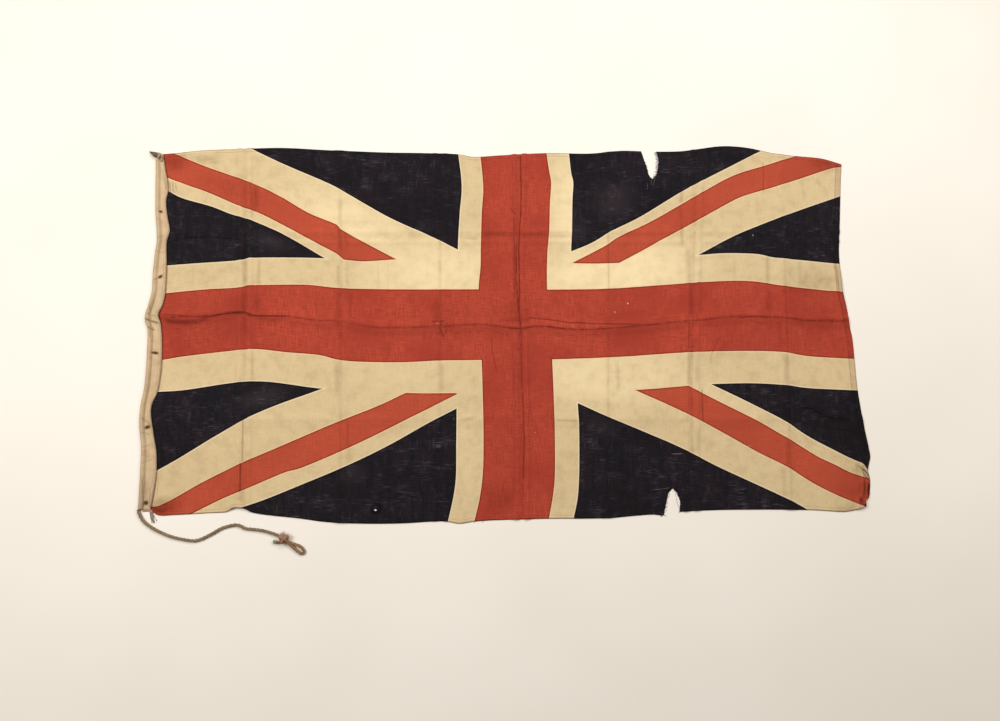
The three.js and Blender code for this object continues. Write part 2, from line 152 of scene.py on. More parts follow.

# Creases and scuffs that lie away from the folds, as lines of (x, y) places on the floor:
# the places, half width in millimetres, and strength. The dark ones are painted shade in the
# creases and under the fly's curled corner, together with dirt. Pale ones are below zero.
MARKS = [
    ([(-663, 394), (-658, 356), (-654, 299)], 5.2, 0.28), ([(-649, 386), (-645, 310)], 8.4, 0.35),
    ([(-668, 283), (-668, 187)], 5.2, 0.39), ([(-640, 278), (-635, 187)], 6.1, 0.42),
    ([(-669, 184), (-667, 112)], 7.9, 0.32), ([(-633, 184), (-632, 112)], 6.1, 0.32),
    ([(-668, 105), (-668, 36)], 7.9, 0.35), ([(-635, 105), (-634, 36)], 7, 0.28),
    ([(-641, -54), (-638, -136)], 5.2, 0.21), ([(-659, -227), (-657, -337)], 2.4, 0.55),
    ([(-661, -340), (-659, -411)], 2.4, 0.85), ([(-652, -406), (-656, -431)], 8.4, 0.24),
    ([(-426, 348), (-426, 278)], 7, 0.21), ([(-428, 272), (-422, 203)], 7.9, 0.35),
    ([(-413, 262), (-406, 213)], 7, 0.24), ([(-429, 176), (-426, 110)], 7, 0.32),
    ([(-406, 176), (-404, 109)], 5.2, 0.17), ([(-427, 104), (-425, -3)], 7.9, 0.32),
    ([(-396, 96), (-395, -3)], 5.2, 0.24), ([(-426, -83), (-424, -173)], 8.4, 0.32),
    ([(-397, -234), (-395, -292)], 2, 0.35), ([(-393, -294), (-388, -339)], 6.1, 0.17),
    ([(-325, 176), (-324, 101)], 5.2, 0.14), ([(-300, 176), (-299, 101)], 5.2, 0.1),
    ([(-509, 96), (-507, 18)], 5.2, 0.17), ([(-481, 96), (-479, 18)], 5.2, 0.17),
    ([(-159, -90), (-158, -167)], 8.4, 0.22), ([(-175, 80), (-172, -4)], 8.4, 0.21),
    ([(-133, 75), (-133, -30)], 8.4, 0.14), ([(-198, 176), (-198, 107)], 5.2, 0.08),
    ([(48, 465), (49, 385), (48, 311), (44, 270), (41, 208), (42, 128), (40, 35), (45, 9)], 2.3, 1),
    ([(27, 465), (26, 322)], 1.6, 0.35), ([(22, 319), (32, 303)], 2.4, 0.8),
    ([(30, 300), (29, 77)], 2, 0.5), ([(45, -4), (46, -165)], 2.2, 0.6),
    ([(47, -165), (50, -279), (46, -387)], 2.4, 0.8), ([(46, -395), (44, -474)], 2.2, 0.45),
    ([(26, -31), (23, -436)], 8.4, 0.17), ([(277, 267), (275, 95)], 2.5, 0.3),
    ([(292, -84), (294, -166)], 7, 0.24), ([(476, 377), (475, 339)], 6.1, 0.39),
    ([(473, 331), (472, 287)], 6.1, 0.28), ([(473, 284), (472, 219)], 6.1, 0.35),
    ([(487, 216), (486, 114)], 8.4, 0.32), ([(492, 108), (489, 23)], 7.9, 0.32),
    ([(482, 21), (479, -58)], 2, 0.7), ([(479, -63), (476, -152)], 6.1, 0.35),
    ([(499, -63), (495, -147)], 6.1, 0.24), ([(509, -162), (508, -242)], 2.6, 0.65),
    ([(495, -254), (489, -325)], 8.4, 0.24), ([(700, 448), (696, 367)], 2.6, 0.4),
    ([(678, 353), (675, 298)], 7, 0.14), ([(698, 197), (694, 111)], 7, 0.35),
    ([(694, 105), (695, 31)], 8.4, 0.32), ([(721, 20), (719, -64)], 7, 0.32),
    ([(732, -72), (728, -148)], 8.4, 0.32), ([(719, -158), (717, -245)], 8.4, 0.35),
    ([(723, -281), (721, -357)], 7, 0.35), ([(710, -362), (709, -435)], 8.4, 0.24),
    ([(611, 186), (607, 114)], 5.2, 0.14), ([(784, 186), (779, 105)], 5.2, 0.14),
    ([(878, 175), (880, 89)], 2, 0.6), ([(-55, 252), (119, 250)], 8.4, 0.32),
    ([(-107, 240), (-60, 237)], 5.2, 0.28), ([(121, 246), (182, 243)], 5.2, 0.14),
    ([(-113, -238), (-67, -228)], 6.1, 0.28), ([(132, -237), (185, -240)], 2.5, 0.35),
    ([(-54, -228), (132, -229)], 7, 0.14),
    ([(-772, 28), (-747, 33), (-714, 39), (-689, 43), (-664, 44), (-651, 38), (-640, 34),
      (-600, 33), (-554, 32)], 2.7, 1.1),
    ([(-871, 23), (-827, 17), (-792, 19), (-752, 28)], 8.4, 0.7),
    ([(-712, 40), (-664, 43)], 4.5, 0.95), ([(-9, 23), (30, 20), (74, 22)], 8.4, 0.32),
    ([(-635, 26), (-594, 25), (-554, 27)], 8.4, 0.32),
    ([(-879, 38), (-841, 36), (-790, 32)], 2, 0.7),
    ([(-680, -452), (-663, -453), (-643, -451)], 2.4, 1.3),
    ([(-877, -447), (-861, -455), (-839, -457)], 8, 0.7),
    ([(-875, -436), (-860, -428), (-841, -420)], 8.4, 0.1),
    ([(-868, 97), (-872, 76), (-882, 40), (-874, 3)], 5, 0.9),
    ([(63, 28), (115, 23), (166, 15), (250, 11), (354, 9)], 2.2, 0.85),
    ([(614, 26), (656, 30), (690, 25)], 2.4, 0.9), ([(252, 3), (234, -16)], 2.4, 0.5),
    ([(-185, 18), (-159, 19), (-165, 3), (-157, -19)], 2.2, 0.85),
    ([(-146, 12), (-147, -7), (-156, -20)], 2.2, 0.6),
    ([(-31, -24), (-30, -56), (-18, -113)], 2.4, 0.5), ([(41, -46), (44, -108)], 2.2, 0.4),
    ([(-871, 227), (-838, 237), (-812, 241), (-761, 243), (-722, 239), (-683, 235)], 2.6, 0.9),
    ([(-872, 391), (-869, 364)], 2.2, 0.8), ([(-864, 391), (-861, 361)], 2.2, 0.7),
    ([(-855, 388), (-853, 369)], 2, 0.55), ([(898, -357), (904, -365), (908, -361)], 2.8, 0.85),
    ([(909, -365), (916, -370), (920, -374), (927, -383), (930, -390)], 3, 1.25),
    ([(893, -352), (894, -367)], 2, 0.5), ([(913, -374), (917, -383), (926, -392)], 2.6, 0.95),
    ([(914, -396), (915, -419), (910, -434)], 5, 0.8),
    ([(926, -396), (925, -419), (921, -439)], 5, 1.6), ([(909, -455), (919, -464)], 5, 1.6),
    ([(902, -440), (903, -450)], 7, 0.95),
    ([(917, -437), (906, -436), (900, -443), (900, -451), (908, -457)], 2.6, 0.7),
    ([(906, -404), (901, -429)], 8.4, 0.28), ([(-870, -387), (-875, -441)], 1.8, 0.7),
    ([(-863, -375), (-863, -419)], 1.5, 0.35), ([(774, 17), (896, 22)], 1.5, 0.6),
    ([(562, -24), (539, -64), (533, -90)], 2, 0.4),
    ([(763, -208), (794, -212), (814, -228), (842, -236), (888, -241)], 3, 0.95),
    ([(796, -261), (892, -269)], 2.5, 0.4), ([(426, -325), (453, -324)], 0.6, -0.35),
    ([(610, -306), (631, -306)], 0.8, -0.3),
]
# The marks go to layers, so that no cell of the cloth meets two in one layer. Wide long marks
# fade out at their ends.
MARK_LAYERS = 6
MARK_REACH = 12
SOFT_HALF_WIDTH, SOFT_LENGTH = 4.6, 40
# Small pale specks, in the marks' own places: middle, radius and strength.
SPECKS = [
    ((-171, 12), 4, 0.5), ((324, 65), 2.2, 0.9), ((289, 42), 3, 0.3), ((662, 248), 2.4, 0.3),
    ((156, -171), 3, 0.3), ((365, -110), 3, 0.3), ((78, -268), 2, 0.25), ((-128, -232), 2, 0.25),
]
# Two small holes worn through the cloth: middle, half length and half width. The larger one
# has a ring of painted shade round it, standing for a raised rim.
HOLES = [((-320, -456), 3.6, 2.0), ((540, -440), 0.9, 0.8)]
HOLE_SHADE_RING = (-322, -455, 11)

# Loose swells: middle x and y, half length, half width, turn in degrees, height.
SWELLS = [
    (-812, 30, 95, 30, 2, 6), (-846, 378, 52, 34, 70, 5), (-835, -200, 70, 40, 80, 5),
    (-780, 470, 90, 26, 4, 5), (-660, -440, 60, 40, 85, 5), (600, 484, 110, 34, -4, 6),
    (565, -44, 70, 26, 62, 3.5), (838, -222, 78, 26, -16, 6), (884, 100, 90, 34, 88, 5),
    (905, -340, 80, 38, 84, 6), (870, -450, 60, 26, 6, 5),
]
# Small wrinkles that only the fine sheet has, written the same way.
WRINKLES = [
    (-846, 381, 26, 5, 72, 2.2), (-858, 372, 20, 4, 78, 2.0), (-820, 400, 46, 7, 24, 1.8),
    (-806, 24, 52, 6, -3, 2.4), (-800, 44, 60, 6, 5, 2.0), (-660, 250, 12, 90, 0, 1.2),
    (566, -40, 46, 6, 62, 2.6), (548, -70, 34, 5, 66, 1.8), (828, -216, 62, 7, -18, 3.0),
    (872, -268, 44, 6, 88, 2.4), (889, -390, 60, 6, 84, 3.0), (900, -352, 52, 5, 80, 2.6),
    (842, 30, 60, 6, 1, 2.2), (880, 230, 60, 6, 86, 1.8), (700, 470, 70, 8, -8, 1.8),
    (-780, 468, 60, 7, 6, 1.8), (-672, -446, 30, 6, 70, 2.4), (-646, -440, 34, 6, 96, 2.2),
    (60, -180, 8, 70, 4, 1.2), (30, 200, 8, 60, -3, 1.2), (200, 20, 70, 6, 3, 1.8),
    (-320, 20, 80, 6, -8, 1.6), (-110, 26, 60, 5, 2, 1.4), (420, 30, 60, 6, 6, 1.6),
]
# The fly's bottom corner curls up: middle x and y, reach and height.
CORNER_CURL = (922, -462, 44, 9)

# Paler places, most towards the middle, then darker ones, most towards the sides, which are painted
# shade over the swells and folds mixed with dirt: x, y, half length, half width, turn, strength.
PALER_PATCHES = [
    (-160, 150, 300, 150, 0, 0.85), (260, -120, 330, 120, 0, 0.9), (300, 150, 330, 130, 6, 1.3),
    (-230, -110, 260, 100, 0, 0.2), (-400, 290, 260, 120, -25, 0.75), (560, -190, 200, 90, -25, 0.3),
    (185, 330, 90, 230, 0, 0.9), (-90, -330, 60, 170, 0, 0.2),
]
SHADE_AND_DIRT_PATCHES = [
    (-812, 30, 90, 22, 2, 0.5), (-852, 250, 60, 40, 80, 0.25), (900, -300, 190, 60, 86, 0.35),
    (890, -430, 80, 60, 0, 0.5), (-120, 20, 150, 80, 0, 0.15), (30, 45, 110, 60, 0, 0.32),
    (-860, -330, 120, 40, 88, 0.25), (300, -110, 120, 60, 10, 0.18), (560, -40, 90, 40, 60, 0.2),
    (840, -222, 80, 30, -16, 0.35), (-660, -400, 80, 40, 80, 0.2), (800, 20, 170, 90, 0, 0.25),
    (-790, 15, 190, 140, 0, 0.25), (-800, -360, 130, 90, 20, 0.15), (-790, 150, 150, 50, 0, 0.17),
    (830, 130, 130, 60, 0, 0.45), (905, -362, 50, 30, 0, 0.5), (-770, 455, 80, 16, -10, 0.35),
    (908, -420, 34, 50, 0, 0.4), (-862, 450, 60, 36, 0, 0.9), (-690, 375, 170, 46, -20, 0.42),
    (-836, -440, 64, 34, 10, 1.1), (868, 448, 60, 30, 0, 0.8), (898, -425, 70, 50, 0, 0.5),
    (-5, -425, 60, 60, 0, 0.6), (-660, 60, 140, 40, 0, 0.25), (-640, -340, 150, 60, 25, 0.15),
]
# Navy that has faded: written the same way.
FADED = [
    (-600, 236, 80, 32, -20, 1), (-610, -172, 95, 36, 15, 1), (196, 262, 44, 50, 0, 0.7),
    (300, 345, 80, 70, 20, 0.8), (-375, -365, 50, 36, 0, 0.6), (255, -250, 60, 36, -20, 0.6),
]

TOP_TEAR = [
    (377, 520), (375, 482), (381, 461), (389, 439), (393, 417), (402, 405),
    (414, 417), (420, 439), (421, 464), (416, 481), (417, 520),
]
BOTTOM_TEAR = [
    (402, -510), (404, -467), (411, -442), (416, -420), (427, -408),
    (437, -420), (443, -433), (445, -443), (443, -467), (443, -510),
]
# A tear's rim wanders this far in steps of this length. What cuts it out is a prism that
# reaches from under the floor to far over the cloth.
RIM_STEP, RIM_WANDER = 2.2, 1.3
CUTTER_HEIGHTS = (-30.0, 60.0)

# The free rope's route, the same as the solid's, then its loop and its tail.
ROPE_DIAMETER = 8
ROPE_PITCH = 30
# A strand's radius for each millimetre of the rope's thickness, its distance from the rope's
# middle for each of its own radius, and how thick the loop and the tail are beside the rope.
STRAND_SHARE, STRAND_OFFSET = 0.232, 1.1547
LOOP_SHARE, TAIL_SHARE = 0.95, 0.92
ROPE_ROUTE = [
    (-903.5, -450.2), (-902.4, -456), (-894, -472), (-884, -483), (-865, -496), (-847, -505),
    (-828, -513), (-809, -519), (-790, -523), (-772, -526), (-759, -526), (-743, -521),
    (-719, -509), (-698, -497), (-678, -491), (-664, -489), (-653, -491), (-639, -498),
    (-622, -500), (-599, -503), (-579, -508), (-565, -513), (-554.6, -517.7),
]
KNOT_MIDDLE = (-542.5, -524, 10.7)
KNOT_TURN_RADIUS = 8.3
KNOT_STRETCH = (1, 1.2, 0.8)
# Each turn of the knot: its tilt in radians and its shift.
KNOT_TURNS = [
    ((0.5, 0.2, 0.6), (0, 0, 0)), ((1.35, -0.5, 0.2), (-1.5, 1, 1)), ((1.2, 0.7, -0.9), (2, -1.5, 0.5)),
]
# Frayed ends that stick out of the knot, by direction in degrees and length.
KNOT_TUFTS = ((118, 13), (88, 15), (52, 11), (20, 9))
TUFT_FIBRES, KNOT_FIBRES = 26, 70
LOOP_ROUTE = [
    (-538, -527, 9), (-530, -531.5, 8), (-523.5, -535.3, 6.2), (-515, -537.5, 4.6),
    (-505.6, -541.4, 4.1), (-498, -547.4, 4.1), (-493.6, -554.4, 4.1), (-496, -559.6, 4.1),
    (-502, -559, 4.1), (-510, -553.6, 4.1), (-518, -547, 4.6), (-526, -540, 6.2),
    (-533, -533, 8), (-539, -528, 9),
]
TAIL_ROUTE = [(-545, -527, 7), (-553, -532, 4.6), (-561, -532, 4.1), (-570, -530, 4.1)]
TOGGLE_TIP = (-924.7, 475.2, 5.9)
TOGGLE_WAIST = (-900, 462.4, 7.6)
TOGGLE_RADIUS = 7
# The toggle's outline from its tip to its waist, as shares of its radius and its length.
TOGGLE_SHAPE = [
    (0.02, 0), (0.1, 0.02), (0.2, 0.07), (0.36, 0.18), (0.52, 0.31), (0.7, 0.44),
    (0.86, 0.57), (0.96, 0.68), (0.99, 0.77), (0.93, 0.86), (0.78, 0.93), (0.56, 0.985), (0.5, 1),
]
# The rope's eye: its two turns, the (radius, along) of what they lie on, and its lead down.
EYE_TURN_RADIUS = 4.1
EYE_CORE = [(3.6, 0.4), (4.2, 1.2), (4.2, 5.0), (3.4, 5.9)]
EYE_LEAD = [
    (-892.4, 449, 5), (-891.6, 457, 5.4), (-891.8, 463.5, 6.6), (-895.2, 468, 8), (-900.5, 468.3, 9),
]

# The heading's ends, its rope's width, and how its top end is drawn down towards its outside.
HEADING_BOTTOM, HEADING_TOP = -451.3, 467.7
HEADING_ROPE_WIDTH = 11.5
HEADING_TOP_SHORT = 6
HEADING_TOP_DROP = 14
HEADING_TOP_FROM = 397.7
HEADING_STATIONS, PROFILE_POINTS = 520, 44
# Above this height the canvas has puckers, waves and creases.
CANVAS_SIDE = 2.2
# How far each row of stitches is from the seam, and each stitch from the next.
STITCH_ROWS, STITCH_PITCH = (3.0, 7.0), 5.2
# Painted shade and dirt in the groove beside the rope, by height on the flag, and dirt at the foot, by
# share across.
GROOVE_SHADE_AND_DIRT = ([-452, -380, -290, -240, 60, 110, 470], [0.8, 0.4, 0.15, 0.4, 0.5, 0.1, 0])
FOOT_DIRT = ([0, 0.35, 0.7, 1], [1, 0.8, 0.3, 0.5])
# Rust spots: x, y, half length, half width, turn and strength, on the row frame's floor.
RUST_SPOTS = [
    (-890, 310, 6, 5, 0, 1.6), (-883, 137, 8, 6, 30, 1.6), (-886, -61, 13, 5.5, -8, 1.6),
    (-895, -249, 11, 7, 20, 1.6), (-889, -436, 9, 8.5, 0, 1.6),
]
# Creases of the canvas: start, end, half width and depth, on the row frame's floor.
CANVAS_CREASES = [
    ((-913, 26), (-885, 16), 2.4, 1.2), ((-912, 8), (-892, -2), 2.2, 1.0),
    ((-909, 40), (-893, 34), 1.8, 0.6), ((-895, 128), (-878, 142), 2.0, 0.7),
    ((-903, 60), (-898, -20), 1.5, 0.7), ((-907, -228), (-890, -242), 2.0, 0.6),
    ((-908, -262), (-888, -268), 1.6, 0.5), ((-905, -300), (-886, -292), 1.4, 0.4),
    ((-902, -318), (-888, -324), 1.4, 0.4), ((-901, -338), (-884, -330), 1.6, 0.5),
    ((-895, -372), (-889, -428), 1.4, 0.5), ((-889, -384), (-886, -430), 1.2, 0.35),
    ((-899, -380), (-893, -446), 1.5, 0.55), ((-882, -400), (-880, -446), 1.5, 0.5),
    ((-897, 236), (-880, 246), 1.6, 0.5), ((-896, 205), (-879, 199), 1.3, 0.4),
    ((-899, 290), (-884, 284), 1.2, 0.4), ((-886, 402), (-880, 372), 1.6, 0.5),
]

# The rims that fray, as (y, x) places of the guides, and threads pulled out beside the tears.
TOP_RIGHT_RIM = [(405, 404), (417, 414), (439, 420), (464, 421), (481, 416)]
TOP_LEFT_RIM = [(405, 402), (417, 393), (439, 389), (461, 381), (482, 375)]
BOTTOM_LEFT_RIM = [(-470, 406), (-441, 412), (-419, 417), (-411, 424)]
BOTTOM_RIGHT_RIM = [(-467, 444), (-444, 439), (-419, 434), (-411, 424)]
RIM_THREAD_HEIGHT = 1.3
LONG_THREADS = [
    [(407, 420), (408, 402), (404, 387)], [(389, 394), (389, 385), (388, 376)],
    [(418, -407), (398, -410), (374, -412)], [(401, 408), (399, 398), (400, 388)],
]
# Where a tuft hangs beside the bottom tear, and the bottom hem's threads by x and length.
TEAR_CORNER = (394.7, -474.3)
HEM_THREADS = ((-75, 12), (-68, 16), (-60, 14), (-52, 10), (400, 9))

# The printed pattern's edges on the lying cloth, as (x, y) from the flag's own middle.
WHITE_TOP = [
    (-869, 167), (-777, 174), (-682, 181), (-655, 187), (-556, 188), (-463, 186), (-414, 182),
    (-361, 178), (-278, 183), (-118, 182), (181, 173), (205, 172), (270, 172), (307, 174), (513, 194),
    (575, 199), (636, 199), (679, 196), (713, 188), (802, 179), (888, 170),
]
RED_TOP = [
    (-869, 94), (-765, 104), (-677, 109), (-661, 114), (-554, 116), (-500, 115), (-428, 107),
    (-379, 105), (-250, 103), (-63, 103), (114, 102), (268, 104), (392, 112), (487, 119),
    (529, 122), (613, 125), (670, 122), (738, 111), (890, 94),
]
RED_BOTTOM = [
    (-869, -79), (-814, -70), (-674, -54), (-628, -52), (-557, -60), (-470, -68), (-424, -80),
    (-375, -85), (-261, -87), (-164, -83), (-59, -82), (124, -81), (300, -75), (456, -65),
    (540, -62), (643, -61), (723, -64), (789, -75), (911, -83),
]
WHITE_BOTTOM = [
    (-874, -160), (-818, -157), (-670, -136), (-597, -136), (-462, -154), (-252, -166),
    (-117, -167), (188, -160), (336, -161), (474, -151), (531, -147), (639, -145),
    (725, -150), (784, -158), (914, -165),
]
# The upright arm's edges, as (y, x) from the bottom hem up.
WHITE_LEFT = [
    (-489, -143), (-432, -130), (-382, -123), (-302, -122), (-206, -121), (9, -118),
    (209, -118), (311, -113), (369, -108), (413, -110), (468, -117),
]
RED_LEFT = [
    (-486, -76), (-430, -63), (-367, -55), (-271, -53), (-152, -55), (-83, -57), (103, -64),
    (163, -59), (214, -58), (312, -55), (369, -51), (413, -53), (463, -58),
]
RED_RIGHT = [
    (-482, 110), (-431, 120), (-383, 126), (-272, 128), (-196, 127), (-81, 124), (102, 114),
    (198, 116), (263, 122), (339, 125), (393, 129), (425, 124), (473, 118),
]
WHITE_RIGHT = [
    (-482, 172), (-432, 183), (-368, 188), (-255, 190), (-194, 188), (9, 185), (205, 179),
    (263, 182), (348, 185), (393, 188), (418, 183), (472, 178),
]
# The four edges of each diagonal, from the highest to the lowest.
TOP_LEFT = [
    [(-665, 484), (-579, 442), (-455, 387), (-418, 366), (-296, 295), (-191, 246), (-118, 209)],
    [(-889, 470), (-866, 469), (-830, 454), (-773, 431), (-690, 401), (-631, 377), (-577, 349),
     (-509, 308), (-435, 276), (-422, 262), (-278, 183)],
    [(-881, 405), (-850, 391), (-776, 365), (-685, 325), (-638, 308), (-590, 284),
     (-477, 222), (-433, 198), (-414, 182)],
    [(-875, 367), (-842, 349), (-761, 325), (-708, 304), (-654, 287), (-574, 251), (-463, 186)],
]
TOP_RIGHT = [
    [(181, 205), (237, 229), (282, 257), (363, 298), (481, 370), (614, 440), (696, 482)],
    [(177, 171), (274, 222), (301, 241), (391, 285), (482, 337), (588, 398), (634, 419),
     (702, 440), (788, 467)],
    [(307, 175), (371, 209), (415, 234), (477, 267), (571, 320), (623, 348), (651, 359),
     (735, 384), (799, 405), (886, 434), (911, 437)],
    [(513, 194), (605, 243), (660, 267), (723, 292), (811, 324), (903, 356)],
]
BOTTOM_LEFT = [
    [(-869, -358), (-818, -329), (-711, -263), (-617, -212), (-462, -154)],
    [(-879, -446), (-860, -444), (-829, -430), (-756, -388), (-657, -339), (-582, -307),
     (-466, -257), (-407, -233), (-312, -195), (-251, -166)],
    [(-775, -463), (-704, -428), (-648, -405), (-548, -363), (-513, -354), (-387, -301),
     (-243, -231), (-117, -168)],
    [(-656, -450), (-600, -431), (-512, -396), (-396, -348), (-292, -298), (-195, -244),
     (-121, -206)],
]
BOTTOM_RIGHT = [
    [(531, -146), (636, -198), (720, -243), (777, -282), (847, -320), (895, -345), (913, -353),
     (927, -371)],
    [(474, -151), (550, -191), (647, -241), (730, -290), (800, -334), (845, -356), (881, -375),
     (904, -383), (933, -391)],
    [(336, -161), (451, -214), (547, -265), (643, -320), (717, -358), (786, -402), (849, -434),
     (913, -461)],
    [(188, -194), (264, -229), (361, -270), (447, -308), (543, -358), (626, -397), (721, -442),
     (766, -467)],
]

# How far a dye's edge is blurred, in metres, the weave's waves for each metre in radians, and
# what the darker patches (painted shade and dirt), the folds and creases (painted shade, with
# dirt along the creases) and the hems (rolled rims, partly painted shade) multiply the colour by.
DYE_BLUR = 0.0003
THREAD_WAVES = 5200
PATCH_SHADE_AND_DIRT_TINT, FOLD_SHADE_TINT = (0.55, 0.47, 0.42, 1), (0.5, 0.42, 0.36, 1)
MARK_SHADE_AND_DIRT_TINT, HEM_TINT = (0.22, 0.15, 0.13, 1), (0.3, 0.16, 0.15, 1)

# The floor's half width in millimetres. Each lamp's place in metres, its energy in watts and
# its colour. All lamps shine at the origin.
FLOOR_REACH = 6000
LAMP_SIZE = 1.4
LAMPS = [
    ("left_lamp", (-2.1, 0.4, 2.6), 61, (1.0, 0.99, 0.97)),
    ("top_left_lamp", (-0.9, 2.0, 2.6), 12, (0.98, 1.0, 1.04)),
    ("top_lamp", (0.7, 1.9, 2.6), 42, (0.98, 1.0, 1.05)),
    ("right_lamp", (2.3, 0.7, 2.6), 36, (1.0, 0.985, 0.955)),
]


# Camera: above the flag, a little nearer to its bottom hem.

SENSOR_WIDTH = 36
LENS_SHARE = 0.76
CAMERA_PLACE = (-0.0590, -0.3379, 1.9353)
CAMERA_TURN = (7.5, -1.4, -0.4)


def make_camera():
    data = bpy.data.cameras.new("view")
    data.sensor_width = SENSOR_WIDTH
    data.lens = LENS_SHARE * SENSOR_WIDTH
    data.clip_end = 50
    camera = bpy.data.objects.new("view", data)
    camera.location = CAMERA_PLACE
    camera.rotation_euler = [math.radians(turn) for turn in CAMERA_TURN]
    bpy.context.collection.objects.link(camera)
    bpy.context.scene.camera = camera


make_camera()


# Lines and guides

def step_lengths(line):
    return np.linalg.norm(np.diff(line, axis=0), axis=1)


def running_sum(steps):
    return np.concatenate([[0], np.cumsum(steps)])


def lengths_along(line):
    """How far each point of a line is from its start, along the line."""
    return running_sum(step_lengths(line))


def knot_slopes(knots, values):
    """The slope at each knot of a curve, taken between its two neighbours."""
    before = np.maximum(np.arange(len(knots)) - 1, 0)
    after = np.minimum(np.arange(len(knots)) + 1, len(knots) - 1)
    return (values[after] - values[before]) / (knots[after] - knots[before])


def curve_at(knots, values, slopes, at):
    """Places on the smooth curve through the values that stand at the knots."""
    i = np.clip(np.searchsorted(knots, at, side="right") - 1, 0, len(knots) - 2)
    step = knots[i + 1] - knots[i]
    q = (at - knots[i]) / step
    if values.ndim > 1:
        step, q = step[:, None], q[:, None]
    rest = 1 - q
    return (
        values[i] * (1 + 2 * q) * rest**2
        + slopes[i] * step * q * rest**2
        + values[i + 1] * (3 - 2 * q) * q**2
        - slopes[i + 1] * step * rest * q**2
    )


def guide(places, start=(0.0, 0.0), run_on=False):
    """A smooth line through (along, across) places in millimetres, as across for any along."""
    along, across = (np.array(places, float) - start).T
    slopes = knot_slopes(along, across)

    def at(value):
        value = np.asarray(value, float)
        inside = np.clip(value, along[0], along[-1])
        result = curve_at(along, across, slopes, inside)
        if run_on:
            result = result + np.where(value < along[0], slopes[0], slopes[-1]) * (value - inside)
        return result

    return at


ACROSS_START = GUIDE_START[::-1]
column_guides = [guide(places, ACROSS_START) for places in COLUMNS]
row_guides = [guide(places, GUIDE_START) for places in ROWS]
heading_edge = guide(HEADING_OUTER_EDGE, ACROSS_START)


def between(guides, panel, along):
    first = np.minimum(np.floor(panel).astype(int), len(guides) - 2)
    values = np.stack([g(along) for g in guides])
    share = panel - first
    index = np.arange(len(panel))
    return values[first, index] * (1 - share) + values[first + 1, index] * share


def cloth_place(column, row):
    """The floor place of cloth points, each where its column meets its row."""
    x = between(column_guides, column, np.zeros(len(column)))
    y = between(row_guides, row, x)
    for _ in range(MEETING_ROUNDS):
        x = between(column_guides, column, y)
        y = between(row_guides, row, x)
    return x, y


def evenly_spaced(line, count):
    along = lengths_along(line)
    at = np.linspace(0, along[-1], count)
    return np.stack([np.interp(at, along, column) for column in line.T], axis=1)


def smooth_line(places, step):
    """A smooth line through given points, with even steps."""
    p = np.array(places, float)
    knots = running_sum(np.sqrt(step_lengths(p)))
    fine = np.linspace(0, knots[-1], 40 * len(p))
    line = curve_at(knots, p, knot_slopes(knots[:, None], p), fine)
    return evenly_spaced(line, max(3, int(lengths_along(line)[-1] / step) + 1))


def in_frame(places, height=None):
    """Guide places as points of the row frame, in millimetres. Flat ones get the height."""
    p = np.array([(*place, height)[:3] for place in places], float)
    p[:, :2] -= GUIDE_START
    return p


# Heights of the lying cloth

def ridge(q):
    return np.maximum(0, 1 - q * q) ** 2


def swell_lift(swells, x, y, start=GUIDE_START):
    """The highest of some oval swells at each place. They are written from the start given."""
    lift = np.zeros_like(x)
    for middle_x, middle_y, long, wide, turn, height in swells:
        angle = math.radians(turn)
        dx = x - middle_x + start[0]
        dy = y - middle_y + start[1]
        lengthwise = (dx * math.cos(angle) + dy * math.sin(angle)) / long
        across = (dy * math.cos(angle) - dx * math.sin(angle)) / wide
        lift = np.maximum(lift, height * ridge(np.hypot(lengthwise, across)))
    return lift


def fold_lift(folds, guides, here, along):
    lift = np.zeros_like(here)
    for (height, trough), line in zip(folds, guides):
        q = (here - line(along)) / CREASE_REACH
        shape = TROUGH_SCALE * q * q * ridge(q) if trough else ridge(q)
        lift = np.maximum(lift, height * shape)
    return lift


def cloth_lift(x, y):
    """How far the cloth's underside is above the floor, in millimetres."""
    lift = fold_lift(COLUMN_FOLDS, column_guides, x, y)
    lift = np.maximum(lift, fold_lift(ROW_FOLDS, row_guides, y, x))
    lift = np.maximum(lift, swell_lift(SWELLS, x, y))
    lift = lift + swell_lift(WRINKLES, x, y)
    curl_x, curl_y, reach, height = CORNER_CURL
    to_corner = np.hypot(x - curl_x + GUIDE_START[0], y - curl_y + GUIDE_START[1]) / reach
    lift = np.maximum(lift, height * ridge(to_corner))
    from_seam = np.clip((x - column_guides[0](y)) / CREASE_REACH, 0, 1)
    unevenness = 0.35 + 0.2 * np.sin(x / 23 + np.sin(y / 31)) + 0.15 * np.sin(y / 17 + np.sin(x / 41))
    return from_seam * (lift + unevenness)


# Meshes

def add_mesh(name, points, faces, material=None, smooth=True):
    mesh = bpy.data.meshes.new(name)
    mesh.from_pydata((np.asarray(points, float) * MM).tolist(), [], faces)
    mesh.validate()
    mesh.update()
    if smooth:
        mesh.shade_smooth()
    if material:
        mesh.materials.append(material)
    piece = bpy.data.objects.new(name, mesh)
    bpy.context.collection.objects.link(piece)
    return piece


def set_attribute(mesh, name, values):
    values = np.asarray(values, np.float32)
    kind = "FLOAT" if values.ndim == 1 else "FLOAT_VECTOR"
    layer = mesh.attributes.new(name, kind, "POINT")
    layer.data.foreach_set("value" if values.ndim == 1 else "vector", values.ravel())


def mesh_points(mesh):
    points = np.zeros(len(mesh.vertices) * 3, np.float32)
    mesh.vertices.foreach_get("co", points)
    return points.reshape(-1, 3).astype(float) / MM


def grid_faces(across, along, offset=0, flip=False):
    faces = []
    for i in range(across - 1):
        for j in range(along - 1):
            a = offset + i * along + j
            face = (a, a + along, a + along + 1, a + 1)
            faces.append(face[::-1] if flip else face)
    return faces


